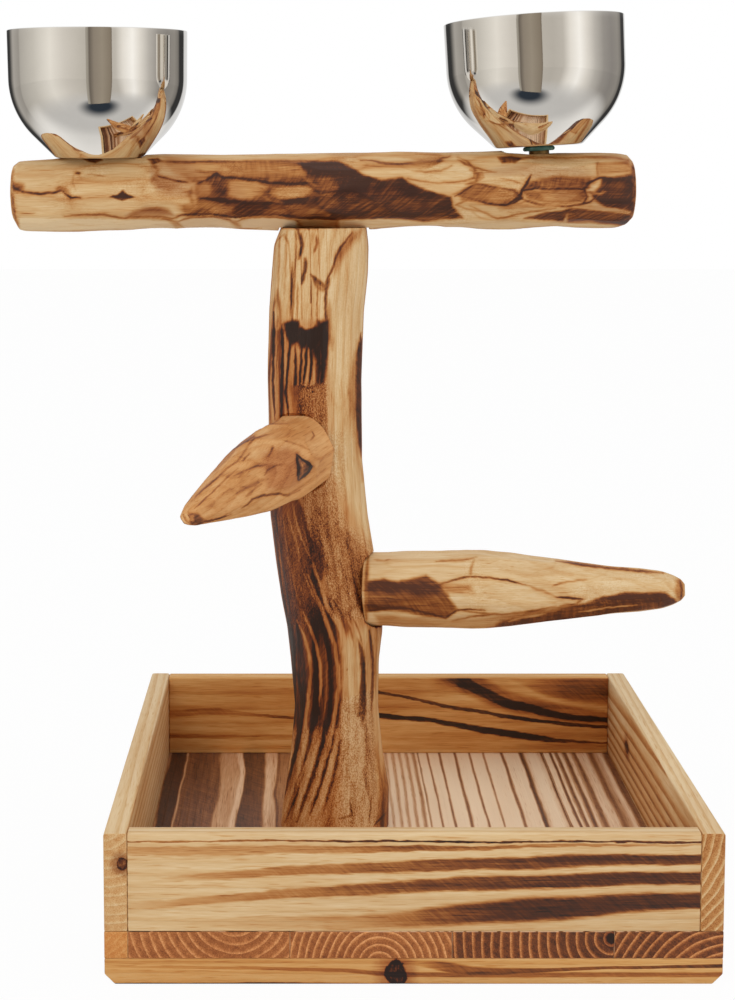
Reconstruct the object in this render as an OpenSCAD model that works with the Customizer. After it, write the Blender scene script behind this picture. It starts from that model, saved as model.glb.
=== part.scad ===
// Tabletop bird perch stand: a shallow pine tray, a carved trunk, a log perch with a
// screw-on steel cup at each end, and two tapered branches. Millimetres, +Z up, +X to the
// right as seen from the front, +Y away from the viewer. The origin is the middle of the
// whole stand's footprint, on the surface that it stands on.

/* [Tray] */
// Width of the tray, left to right
tray_w = 300; // [280:1:360]
// Depth of the tray, front to back
tray_d = 265; // [220:1:340]
// Height of the walls above the floor panel
wall_h = 49; // [35:1:80]
// Thickness of the side walls
side_t = 11.5; // [9:0.5:15]
// Thickness of the front and back walls
end_t = 10; // [8:0.5:14]
// Thickness of the glued floor panel
floor_t = 13.5; // [11:0.5:18]
// Width of the narrow stave at the panel's left edge
edge_stave_w = 11.5; // [8:0.5:20]
// Width of each of the three wide staves beside it
stave_w = 78.5; // [70:0.5:82]
// Height of the two foot rails
rail_h = 13; // [9:0.5:20]
// Front-to-back width of each foot rail
rail_w = 40; // [26:1:60]
// Chamfer on the lower corners at the rails' ends
rail_chamfer = 5; // [1:0.5:7]

/* [Trunk] */
// Height of the trunk above the floor panel
trunk_h = 336; // [300:1:400]
// Thickness of the trunk at mid height
trunk_t = 50; // [46:1:58]
// Distance of the trunk's top from the tray's centre line, to the left
trunk_left = 44; // [30:1:60]
// Distance of the trunk's core behind the tray's middle
trunk_back = 5; // [-10:1:20]

/* [Perch] */
// Length of the top perch
perch_len = 336; // [320:1:400]
// Diameter of the top perch
perch_d = 41; // [38:0.5:48]
// Depth of the flat in the perch's underside that the trunk's top fits
perch_seat = 1.5; // [1:0.5:4]

/* [Branches] */
// Length of the right branch
right_len = 171; // [120:1:200]
// Diameter of the right branch where it meets the trunk
right_d = 40.5; // [32:0.5:44]
// Height of the right branch's root above the floor panel
right_h = 135; // [110:1:160]
// Length of the front branch
front_len = 129; // [90:1:150]
// Diameter of the front branch where it meets the trunk
front_d = 43; // [34:0.5:45]
// Height of the front branch's root above the floor panel
front_h = 217; // [195:1:250]
// Distance from the trunk's core to the flat that each branch is screwed to
branch_seat = 22; // [19:0.5:24]

/* [Cups] */
// Radius of each cup at its rim
cup_r = 48.5; // [42:0.5:56]
// Height of each cup
cup_h = 68; // [55:1:80]
// Radius of each cup's flat base
cup_base_r = 23.5; // [20:0.5:28]
// Thickness of the cups' steel
cup_t = 0.8; // [0.6:0.1:1.5]
// Radius of the curve between each cup's sloping base and its upright side
cup_curve_r = 44; // [30:1:46]
// Distance of the left cup from the perch's left end
left_cup_inset = 46.2; // [40:0.2:70]
// Distance of the right cup from the perch's right end
right_cup_inset = 50.2; // [40:0.2:70]
// How far the left cup leans towards the front, in degrees
left_lean = 1.8; // [0:0.1:3]
// How far the right cup leans towards the left, in degrees
right_lean = 3.2; // [0:0.1:5]

/* [Fittings] */
// Diameter of the cup screws' thread
screw_d = 6; // [5:0.5:8]
// Length of each cup screw under its head
cup_screw_len = 18; // [16:1:20]
// Outer diameter of the threaded inserts
insert_d = 11; // [9.5:0.5:13]
// Length of the threaded inserts
insert_len = 16; // [12:1:18]
// How far the right insert stands proud of the perch
insert_proud = 1.7; // [0:0.1:4]
// Outer diameter of the soft washer under each cup
seal_d = 17.5; // [15:0.5:22]
// Thickness of the soft washer under each cup
seal_t = 2.4; // [1.5:0.1:4]
// Diameter of the wood screws in the trunk and the perch
wood_screw_d = 5; // [4:0.5:6]
// Length of the double-ended screw in each branch
dowel_len = 48; // [36:1:50]
// Diameter of the nails
nail_d = 1.8; // [1.4:0.1:2.4]
// Radial clearance of the cup screws in their inserts
thread_fit = 0.05; // [0.02:0.01:0.1]
// Radial clearance of each fastener in the wood
wood_fit = 0.05; // [0.02:0.01:0.1]

/* [Hidden] */

// Fineness of round faces, and a small overcut that keeps faces from coinciding
$fn = 64;
overcut = 1;

// Levels of the tray's parts
floor_z = rail_h + floor_t;
tray_top = floor_z + wall_h;
inner_w = tray_w - 2 * side_t;

// The staves' left edges, and the widths that follow from them
stave_left = [-tray_w / 2, for (i = [0:3]) -tray_w / 2 + edge_stave_w + i * stave_w, tray_w / 2];
function stave_mid(i) = (stave_left[i] + stave_left[i + 1]) / 2;

// Nails: lengths, head, and how far they stay from a board's edge
nail_len = 30;
rail_nail_len = 22;
nail_head_lip = 0.7;
nail_head_d = nail_d + 2 * nail_head_lip;
nail_head_t = 0.8;
nail_edge = 10;
side_nail_edge = 50;

// Trunk: [share of the height, shift to the right of the top, width, depth], the last three as
// shares of the trunk's thickness, and how far its flats turn from its foot to its top
trunk_top = floor_z + trunk_h;
trunk_x = -trunk_left;
trunk_y = trunk_back;
trunk_rings = [
    [0.000, 0.158, 1.21, 1.16],
    [0.024, 0.166, 1.20, 1.14],
    [0.065, 0.190, 1.16, 1.10],
    [0.128, 0.184, 1.03, 1.02],
    [0.205, 0.180, 0.93, 0.95],
    [0.285, 0.156, 0.99, 0.97],
    [0.335, 0.158, 1.07, 1.01],
    [0.390, 0.118, 1.13, 1.05],
    [0.446, 0.058, 1.12, 1.06],
    [0.525, -0.018, 1.10, 1.06],
    [0.620, -0.062, 1.06, 1.04],
    [0.750, -0.070, 1.06, 1.04],
    [0.865, -0.048, 1.07, 1.03],
    [0.930, -0.008, 1.08, 1.02],
    [1.000, 0.004, 1.05, 0.98],
];
trunk_twist = 27;

// Perch: where it lies, then [share of the length, rise of the centre, diameter], the last two as
// shares of its diameter, and how far its flats turn from its left end to its right
perch_shift = 1;
perch_z = trunk_top + perch_d / 2 - perch_seat;
perch_x = trunk_x + perch_shift;
perch_left = perch_x - perch_len / 2;
perch_right = perch_x + perch_len / 2;
perch_rings = [
    [0.000, -0.010, 0.74],
    [0.008, -0.046, 0.91],
    [0.018, -0.049, 0.93],
    [0.066, -0.041, 0.97],
    [0.100, -0.017, 1.02],
    [0.175, 0.005, 1.03],
    [0.205, 0.000, 1.01],
    [0.240, 0.010, 1.02],
    [0.335, 0.012, 0.985],
    [0.430, 0.002, 1.02],
    [0.500, 0.005, 1.03],
    [0.620, 0.029, 1.04],
    [0.690, 0.037, 0.995],
    [0.755, 0.024, 1.045],
    [0.815, 0.037, 1.06],
    [0.880, 0.032, 0.975],
    [0.945, 0.024, 1.00],
    [0.976, 0.024, 0.995],
    [0.991, 0.034, 0.94],
    [1.000, 0.029, 0.78],
];
perch_twist = 101;

// Branches: turn from the +X axis and rise in degrees, how far their flats turn from root to tip,
// then their rings as [share of the length, diameter as a share of the root's]
right_turn = -13;
right_rise = 3;
right_twist = 43;
right_rings = [
    [0.00, 1.00], [0.06, 1.00], [0.12, 1.03], [0.22, 1.03], [0.33, 1.05], [0.375, 1.045],
    [0.45, 0.99], [0.53, 0.90], [0.60, 0.83], [0.71, 0.72], [0.78, 0.64], [0.86, 0.59],
    [0.93, 0.50], [0.965, 0.39], [0.988, 0.28], [1.00, 0.15],
];
front_turn = -114.4;
front_rise = -5.4;
front_twist = 32;
front_rings = [
    [0.00, 1.00], [0.08, 1.00], [0.18, 1.02], [0.30, 0.98], [0.45, 0.86], [0.60, 0.69],
    [0.75, 0.51], [0.88, 0.35], [0.955, 0.26], [0.985, 0.19], [1.00, 0.11],
];
// Gap round each root inside the flat that is cut for it, and that cut's reach outwards
root_gap = 0.4;
root_reach = 60;
// How deep the hand-cut flats are, as a share of a prism's, how many go round each log, and
// the points of a section
carve = 0.55;
trunk_sides = 6;
perch_sides = 8;
right_sides = 8;
front_sides = 7;
ring_points = 20;

// Cup: angle of its sloping base, how much the side opens from the belly to the rim
cup_slope = 45;
cup_draft = 0.3;
cup_belly_r = cup_r - cup_draft;
curve_steps = 10;

// Cup fastening, from the head down, and the room left round and under the screw's tip
head_d = 2 * screw_d;
head_t = 0.6 * screw_d;
washer_lip = 2;
washer_d = head_d + 2 * washer_lip;
washer_t = 1.2;
hole_fit = 0.2;
screw_tip = 1.2;
tip_room = 1;

// Wood screws: head, how deep they bite into the trunk from below and from above, spacing, and
// how deep and how far behind the perch's ridge the upper ones' heads lie
wood_head_d = 2 * wood_screw_d;
wood_head_t = 0.55 * wood_screw_d;
trunk_screw_bite = 36;
perch_screw_bite = 30;
screw_gap = 24;
perch_head_depth = 6;
perch_screw_back = 8;

// Seats of the cups. The left cup's washer lies in a recess, so its base sits on the wood
left_cup_x = perch_left + left_cup_inset;
right_cup_x = perch_right - right_cup_inset;
left_seat_drop = 1.6;
right_seat_rise = 0.4;
left_seat_z = perch_z + perch_d / 2 - left_seat_drop;
right_seat_z = perch_z + perch_d / 2 + right_seat_rise;
recess_fit = 0.5;
seat_margin = 2;
spot_r = 13;

// Width of the flat housing in the perch's underside, wider than the trunk's top
housing_gap = 1;
housing_w = trunk_rings[len(trunk_rings) - 1][2] * trunk_t + 2 * housing_gap;

// The middle of the whole stand's footprint, seen from the tray's middle
reach_left = min(-tray_w / 2, perch_left, left_cup_x - cup_r);
reach_right = max(tray_w / 2, perch_right, right_cup_x + cup_r);
front_tip_y = trunk_y + (branch_seat + front_len) * cos(front_rise) * sin(front_turn);
reach_front = min(-tray_d / 2, front_tip_y);
middle = [(reach_left + reach_right) / 2, (reach_front + tray_d / 2) / 2, 0];

// Wood colours
pale_pine = "#d9b98a";
board_pine = "#c99a5f";
torched_pine = "#a9753f";
branch_pine = "#c79a6b";

// The trunk's core at a height above the floor panel, by straight runs between the rings
function run(rings, s, i = 0) =
    i >= len(rings) - 2 || s <= rings[i + 1][0]
        ? rings[i] + (rings[i + 1] - rings[i]) * (s - rings[i][0])
            / (rings[i + 1][0] - rings[i][0])
        : run(rings, s, i + 1);
function trunk_core(h) =
    [trunk_x + run(trunk_rings, h / trunk_h)[1] * trunk_t, trunk_y, floor_z + h];

// Radius of a section with flats: 1 at its corners, less between them
function flats(angle, sides) =
    let (step = 360 / sides, a = angle - step * floor(angle / step) - step / 2)
    1 - carve * (1 - cos(step / 2) / cos(a));

// Faces of a loft through equal rings that run anticlockwise, seen from the far end
function loft_faces(count, rings) = concat(
    [[for (k = [0:count - 1]) k]],
    [for (j = [0:rings - 2]) for (k = [0:count - 1])
        [j * count + k, (j + 1) * count + k, (j + 1) * count + (k + 1) % count]],
    [for (j = [0:rings - 2]) for (k = [0:count - 1])
        [j * count + k, (j + 1) * count + (k + 1) % count, j * count + (k + 1) % count]],
    [[for (k = [count - 1:-1:0]) (rings - 1) * count + k]]);

// A carved log along +Z: rings are [height, x, y, radius x, radius y], and its flats turn by
// twist degrees over its length
module log_loft(rings, sides, twist) {
    length = rings[len(rings) - 1][0];
    points = [for (r = rings) for (k = [0:ring_points - 1])
        let (a = 360 * k / ring_points, f = flats(a + twist * r[0] / length, sides))
        [r[1] + r[3] * f * cos(a), r[2] + r[4] * f * sin(a), r[0]]];
    polyhedron(points, loft_faces(ring_points, len(rings)));
}

// Puts a piece that is placed from the tray's middle into the stand's own frame
module in_stand() {
    translate(-middle)
        children();
}

// Frames of the two branches, with +Z along the branch and the root's flat at z = 0
module at_right_root() {
    translate(trunk_core(right_h))
        rotate([0, 90 - right_rise, right_turn])
            translate([0, 0, branch_seat])
                children();
}
module at_front_root() {
    translate(trunk_core(front_h))
        rotate([0, 90 - front_rise, front_turn])
            translate([0, 0, branch_seat])
                children();
}

// Frames of the two cups, with +Z along the cup's axis and the wood's seat at z = 0
module at_left_cup() {
    translate([left_cup_x, trunk_y, left_seat_z])
        rotate([left_lean, 0, 0])
            children();
}
module at_right_cup() {
    translate([right_cup_x, trunk_y, right_seat_z])
        rotate([0, -right_lean, 0])
            children();
}

// A nail along +Z with its head's face at z = 0 and its point above, or the hole for it
module nail(length, fit = 0) {
    cylinder(r = nail_d / 2 + fit, h = length + fit, $fn = 24);
    translate([0, 0, fit > 0 ? -overcut : 0])
        cylinder(r = nail_head_d / 2 + fit, h = nail_head_t + (fit > 0 ? overcut : 0), $fn = 24);
}

// The nails through the side walls into the ends of the front and back walls
module corner_nail_set(fit = 0) {
    for (side = [-1, 1], end = [-1, 1], z = [floor_z + nail_edge, tray_top - nail_edge])
        translate([side * tray_w / 2, end * (tray_d - end_t) / 2, z])
            rotate([0, -90 * side, 0])
                nail(nail_len, fit);
}

// The nails from under the floor panel into the walls
module floor_nail_set(fit = 0) {
    for (i = [1:3], end = [-1, 1])
        translate([stave_mid(i), end * (tray_d - end_t) / 2, rail_h])
            nail(nail_len, fit);
    for (side = [-1, 1], end = [-1, 1])
        translate([side * (tray_w - side_t) / 2, end * (tray_d / 2 - side_nail_edge), rail_h])
            nail(nail_len, fit);
}

// The nails from under the rails into the floor panel
module rail_nail_set(fit = 0) {
    for (i = [1:4], end = [-1, 1])
        translate([stave_mid(i), end * (tray_d - rail_w) / 2, 0])
            nail(rail_nail_len, fit);
}

// A wood screw along +Z with its flat head's face at z = 0, or the hole for it
module wood_screw(length, fit = 0) {
    cylinder(r = wood_screw_d / 2 + fit, h = length + fit, $fn = 32);
    translate([0, 0, fit > 0 ? -overcut : 0])
        cylinder(r = wood_head_d / 2 + fit, h = wood_head_t + (fit > 0 ? overcut : 0), $fn = 32);
}

// The two screws up through the floor panel into the trunk, side by side front to back
module trunk_screw_set(fit = 0) {
    for (side = [-1, 1])
        translate([trunk_core(0)[0], trunk_y + side * screw_gap / 2, rail_h])
            wood_screw(floor_t + trunk_screw_bite, fit);
}

// The two screws down through the perch into the trunk's top
module perch_screw_set(fit = 0) {
    head_z = perch_z + perch_d / 2 - perch_head_depth;
    for (side = [-1, 1])
        translate([trunk_x + side * screw_gap / 2, trunk_y + perch_screw_back, head_z])
            rotate([180, 0, 0])
                wood_screw(head_z - trunk_top + perch_screw_bite, fit);
}

// The well above each perch screw's head
module perch_screw_wells() {
    head_z = perch_z + perch_d / 2 - perch_head_depth;
    for (side = [-1, 1])
        translate([trunk_x + side * screw_gap / 2, trunk_y + perch_screw_back, head_z])
            cylinder(r = wood_head_d / 2 + wood_fit, h = perch_head_depth + overcut, $fn = 32);
}

// The double-ended screw in a branch's root, centred on the flat, or the hole for it
module dowel_screw(fit = 0) {
    translate([0, 0, -dowel_len / 2 - fit])
        cylinder(r = screw_d / 2 + fit, h = dowel_len + 2 * fit, $fn = 32);
}

// A branch along +Z from its root's flat
module branch_log(rings, length, root_d, sides, twist) {
    log_loft([for (r = rings) [r[0] * length, 0, 0, r[1] * root_d / 2, r[1] * root_d / 2]],
        sides, twist);
}

// The cut that makes a branch's flat on the trunk
module root_cut(root_d) {
    cylinder(r = root_d / 2 + root_gap, h = root_reach);
}

// A front or back wall board
module end_wall(end) {
    difference() {
        translate([-inner_w / 2, end > 0 ? tray_d / 2 - end_t : -tray_d / 2, floor_z])
            cube([inner_w, end_t, wall_h]);
        corner_nail_set(wood_fit);
        floor_nail_set(wood_fit);
    }
}

// A side wall board, full depth, so its end grain shows at the front
module side_wall(side) {
    difference() {
        translate([side > 0 ? tray_w / 2 - side_t : -tray_w / 2, -tray_d / 2, floor_z])
            cube([side_t, tray_d, wall_h]);
        corner_nail_set(wood_fit);
        floor_nail_set(wood_fit);
    }
}

// One stave of the floor panel, running front to back
module floor_stave(i) {
    difference() {
        translate([stave_left[i], -tray_d / 2, rail_h])
            cube([stave_left[i + 1] - stave_left[i], tray_d, floor_t]);
        floor_nail_set(wood_fit);
        rail_nail_set(wood_fit);
        trunk_screw_set(wood_fit);
    }
}

// A foot rail across the tray's width
module foot_rail(end) {
    outline = [
        [-tray_w / 2 + rail_chamfer, 0],
        [tray_w / 2 - rail_chamfer, 0],
        [tray_w / 2, rail_chamfer],
        [tray_w / 2, rail_h],
        [-tray_w / 2, rail_h],
        [-tray_w / 2, rail_chamfer],
    ];
    difference() {
        translate([0, end > 0 ? tray_d / 2 : -tray_d / 2 + rail_w, 0])
            rotate([90, 0, 0])
                linear_extrude(height = rail_w)
                    polygon(outline);
        rail_nail_set(wood_fit);
    }
}

module front_wall() {
    color(board_pine) in_stand() end_wall(-1);
}

module back_wall() {
    color(board_pine) in_stand() end_wall(1);
}

module left_wall() {
    color(pale_pine) in_stand() side_wall(-1);
}

module right_wall() {
    color(pale_pine) in_stand() side_wall(1);
}

module floor_stave_1() {
    color(pale_pine) in_stand() floor_stave(0);
}

module floor_stave_2() {
    color(board_pine) in_stand() floor_stave(1);
}

module floor_stave_3() {
    color(board_pine) in_stand() floor_stave(2);
}

module floor_stave_4() {
    color(board_pine) in_stand() floor_stave(3);
}

module floor_stave_5() {
    color(board_pine) in_stand() floor_stave(4);
}

module front_foot_rail() {
    color(board_pine) in_stand() foot_rail(-1);
}

module back_foot_rail() {
    color(board_pine) in_stand() foot_rail(1);
}

module corner_nails() {
    color("silver") in_stand() corner_nail_set();
}

module floor_nails() {
    color("silver") in_stand() floor_nail_set();
}

module rail_nails() {
    color("silver") in_stand() rail_nail_set();
}

// The trunk stands on the floor panel, with a flat cut for each branch
module trunk() {
    rings = [for (r = trunk_rings)
        [r[0] * trunk_h, r[1] * trunk_t, 0, r[2] * trunk_t / 2, r[3] * trunk_t / 2]];
    color(torched_pine) in_stand() difference() {
        translate([trunk_x, trunk_y, floor_z])
            log_loft(rings, trunk_sides, trunk_twist);
        at_right_root() {
            root_cut(right_d);
            dowel_screw(wood_fit);
        }
        at_front_root() {
            root_cut(front_d);
            dowel_screw(wood_fit);
        }
        trunk_screw_set(wood_fit);
        perch_screw_set(wood_fit);
    }
}

module trunk_screws() {
    color("silver") in_stand() trunk_screw_set();
}

// The bore for an insert whose top face is at a height, with room for the tip of a screw
// from a cup whose base is at another
module insert_bore(top, base) {
    translate([0, 0, top - insert_len - wood_fit])
        cylinder(r = insert_d / 2 + wood_fit, h = insert_len + overcut);
    tip = base + cup_t + washer_t - cup_screw_len - tip_room;
    translate([0, 0, tip])
        cylinder(r = screw_d / 2 + tip_room, h = top - tip);
}

// The perch lies on the trunk's top, with a flat housing under it, a seat for the left cup
// and a bore for each insert
module top_perch() {
    rings = [for (r = perch_rings)
        [r[0] * perch_len, r[1] * perch_d, 0, r[2] * perch_d / 2, r[2] * perch_d / 2]];
    color(torched_pine) in_stand() difference() {
        translate([perch_left, trunk_y, perch_z])
            rotate([0, 90, 0])
                mirror([1, 0, 0])
                    log_loft(rings, perch_sides, perch_twist);
        translate([trunk_x, trunk_y, trunk_top - perch_d])
            cube([housing_w, 2 * perch_d, 2 * perch_d], center = true);
        perch_screw_set(wood_fit);
        perch_screw_wells();
        at_left_cup() {
            cylinder(r = cup_base_r + seat_margin, h = perch_d / 4);
            translate([0, 0, -seal_t])
                cylinder(r = seal_d / 2 + recess_fit, h = seal_t + overcut);
            insert_bore(-seal_t, 0);
        }
        at_right_cup() {
            cylinder(r = spot_r, h = perch_d / 4);
            insert_bore(insert_proud, insert_proud + seal_t);
        }
    }
}

module perch_screws() {
    color("silver") in_stand() perch_screw_set();
}

module right_branch() {
    color(branch_pine) in_stand() at_right_root() difference() {
        branch_log(right_rings, right_len, right_d, right_sides, right_twist);
        dowel_screw(wood_fit);
    }
}

module right_branch_screw() {
    color("silver") in_stand() at_right_root() dowel_screw();
}

module front_branch() {
    color(branch_pine) in_stand() at_front_root() difference() {
        branch_log(front_rings, front_len, front_d, front_sides, front_twist);
        dowel_screw(wood_fit);
    }
}

module front_branch_screw() {
    color("silver") in_stand() at_front_root() dowel_screw();
}

// A threaded insert along -Z from its top face
module insert() {
    difference() {
        translate([0, 0, -insert_len])
            cylinder(r = insert_d / 2, h = insert_len);
        translate([0, 0, -insert_len - overcut])
            cylinder(r = screw_d / 2 + thread_fit, h = insert_len + 2 * overcut);
    }
}

module left_insert() {
    color("#5b4a3a") in_stand() at_left_cup() translate([0, 0, -seal_t]) insert();
}

module right_insert() {
    color("#5b4a3a") in_stand() at_right_cup() translate([0, 0, insert_proud]) insert();
}

// The soft washer between a cup's base and what carries it
module seal() {
    difference() {
        cylinder(r = seal_d / 2, h = seal_t);
        translate([0, 0, -overcut])
            cylinder(r = screw_d / 2 + hole_fit, h = seal_t + 2 * overcut);
    }
}

module left_seal() {
    color("#4f8a7c") in_stand() at_left_cup() translate([0, 0, -seal_t]) seal();
}

module right_seal() {
    color("#4f8a7c") in_stand() at_right_cup() translate([0, 0, insert_proud]) seal();
}

// Half outline of a cup shell, inset from the outer face: slope, curve, then upright side
function cup_side(inset) =
    let (
        bend = 90 - cup_slope,
        r0 = cup_base_r - inset * tan(cup_slope / 2),
        rc = cup_curve_r - inset,
        mid_r = cup_belly_r - cup_curve_r,
        end_r = mid_r + cup_curve_r * cos(bend),
        mid_z = (end_r - cup_base_r) * tan(cup_slope) + cup_curve_r * sin(bend)
    )
    concat(
        [[r0, inset]],
        [for (i = [0:curve_steps])
            let (a = bend * (1 - i / curve_steps))
            [mid_r + rc * cos(a), mid_z - rc * sin(a)]],
        [[cup_r - inset, cup_h]]);

// A cup with its base's underside at z = 0
module cup() {
    outer = cup_side(0);
    inner = cup_side(cup_t);
    hole_r = screw_d / 2 + hole_fit;
    rotate_extrude($fn = 96)
        polygon(concat(
            [[hole_r, 0]],
            outer,
            [for (i = [len(inner) - 1:-1:0]) inner[i]],
            [[hole_r, cup_t]]));
}

module left_cup() {
    color("lightgray") in_stand() at_left_cup() cup();
}

module right_cup() {
    color("lightgray") in_stand() at_right_cup() translate([0, 0, insert_proud + seal_t]) cup();
}

// The steel washer under a cup screw's head, from the cup's base
module cup_washer() {
    translate([0, 0, cup_t])
        difference() {
            cylinder(r = washer_d / 2, h = washer_t);
            translate([0, 0, -overcut])
                cylinder(r = screw_d / 2 + hole_fit, h = washer_t + 2 * overcut);
        }
}

module left_cup_washer() {
    color("silver") in_stand() at_left_cup() cup_washer();
}

module right_cup_washer() {
    color("silver") in_stand() at_right_cup() translate([0, 0, insert_proud + seal_t]) cup_washer();
}

// A pan-head screw from inside a cup down into its insert
module cup_screw() {
    translate([0, 0, cup_t + washer_t]) {
        rotate_extrude()
            polygon([
                [0, 0],
                [head_d / 2, 0],
                [head_d / 2, 0.45 * head_t],
                [0.42 * head_d, 0.8 * head_t],
                [0.28 * head_d, head_t],
                [0, head_t],
            ]);
        translate([0, 0, -cup_screw_len + screw_tip])
            cylinder(r = screw_d / 2, h = cup_screw_len - screw_tip);
        translate([0, 0, -cup_screw_len])
            cylinder(r1 = screw_d / 2 - screw_tip, r2 = screw_d / 2, h = screw_tip);
    }
}

module left_cup_screw() {
    color("silver") in_stand() at_left_cup() cup_screw();
}

module right_cup_screw() {
    color("silver") in_stand() at_right_cup() translate([0, 0, insert_proud + seal_t]) cup_screw();
}

front_wall();
back_wall();
left_wall();
right_wall();
floor_stave_1();
floor_stave_2();
floor_stave_3();
floor_stave_4();
floor_stave_5();
front_foot_rail();
back_foot_rail();
corner_nails();
floor_nails();
rail_nails();
trunk();
trunk_screws();
top_perch();
perch_screws();
right_branch();
right_branch_screw();
front_branch();
front_branch_screw();
left_insert();
right_insert();
left_seal();
right_seal();
left_cup();
right_cup();
left_cup_washer();
right_cup_washer();
left_cup_screw();
right_cup_screw();
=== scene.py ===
"""The looks of the bird perch stand: hewn and torched pine logs, a torched pine tray, and two
mirror-polished cups, set on the stand's CAD solids. Metres, +Z up, +Y to the back."""

import logging
import math
from dataclasses import dataclass, replace
from enum import Enum
from typing import Optional, Sequence, Union

import bmesh
import bpy
import numpy as np
from mathutils import Matrix, Vector


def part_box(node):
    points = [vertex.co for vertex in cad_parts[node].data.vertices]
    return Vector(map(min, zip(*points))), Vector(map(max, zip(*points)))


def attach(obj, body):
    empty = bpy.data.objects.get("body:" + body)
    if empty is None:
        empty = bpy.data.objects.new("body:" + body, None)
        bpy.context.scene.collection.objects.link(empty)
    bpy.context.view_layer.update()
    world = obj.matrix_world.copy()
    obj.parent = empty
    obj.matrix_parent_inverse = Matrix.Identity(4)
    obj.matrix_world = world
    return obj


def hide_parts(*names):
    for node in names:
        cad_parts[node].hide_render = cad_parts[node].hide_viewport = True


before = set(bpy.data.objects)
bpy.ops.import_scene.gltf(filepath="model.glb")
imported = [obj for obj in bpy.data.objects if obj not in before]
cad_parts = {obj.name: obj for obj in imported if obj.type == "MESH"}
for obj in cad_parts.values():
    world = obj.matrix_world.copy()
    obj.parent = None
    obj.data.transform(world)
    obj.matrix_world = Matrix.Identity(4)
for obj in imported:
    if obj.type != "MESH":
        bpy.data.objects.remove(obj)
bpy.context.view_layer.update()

MM = 0.001
STAND = "stand"
WHITE = (1.0, 1.0, 1.0, 1.0)
PINE_SHINE = 0.35
# The half width of a burnt band that a ramp's 1 stands for, as a share of the board's height.
BAND_SCALE = 0.2
# Where no scoop reaches, a log's level counts as this far out.
UNCUT = 9.0
# The soft edge of a burnt line's halo, in pixels.
HALO_SOFT = 7.0
SAME_POINT = 1e-6

log = logging.getLogger("bird_perch_stand")

Socket = bpy.types.NodeSocket
Value = Union[float, Sequence[float], Socket]


def srgb(code: str) -> tuple[float, float, float, float]:
    """The linear colour of a hex code.

    Args:
        code: six hex digits after a #.

    Returns:
        Red, green, blue and alpha in linear light.
    """
    parts = [int(code[i:i + 2], 16) / 255 for i in (1, 3, 5)]
    linear = [p / 12.92 if p <= 0.04045 else ((p + 0.055) / 1.055) ** 2.4 for p in parts]
    return (*linear, 1.0)


def smooth(value: np.ndarray, start: float, end: float) -> np.ndarray:
    """A soft step from 0 at start to 1 at end."""
    t = np.clip((value - start) / (end - start), 0.0, 1.0)
    return t * t * (3.0 - 2.0 * t)


def linked(name: str, data: bpy.types.ID) -> bpy.types.Object:
    """A new object in the scene."""
    made = bpy.data.objects.new(name, data)
    bpy.context.scene.collection.objects.link(made)
    return made


def plain_mesh(bm: bmesh.types.BMesh, name: str) -> bpy.types.Mesh:
    """Turns a bmesh into a mesh."""
    mesh = bpy.data.meshes.new(name)
    bm.to_mesh(mesh)
    bm.free()
    return mesh


class Tone(Enum):
    """How a piece of pine was torched, as the colours it goes through from bare to charred."""

    STRAW = ((0.00, "#EFD4A8"), (0.16, "#E2BD88"), (0.34, "#D29C60"), (0.50, "#B9773A"),
             (0.66, "#905022"), (0.82, "#60321A"), (1.00, "#33231C"))
    HONEY = ((0.00, "#EAC084"), (0.16, "#DFA965"), (0.34, "#CB8A45"), (0.50, "#B16A30"),
             (0.66, "#8E4F22"), (0.82, "#5C341B"), (1.00, "#2E1E16"))
    DUSKY = ((0.00, "#FFE3C0"), (0.16, "#EDC69E"), (0.34, "#CC996C"), (0.50, "#AA7448"),
             (0.66, "#855434"), (0.82, "#5E3B27"), (1.00, "#35261E"))
    RUSSET = ((0.00, "#F2C68C"), (0.16, "#E6AE70"), (0.34, "#D69656"), (0.50, "#BA763F"),
              (0.66, "#8E5533"), (0.82, "#613A25"), (1.00, "#35231C"))


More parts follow.
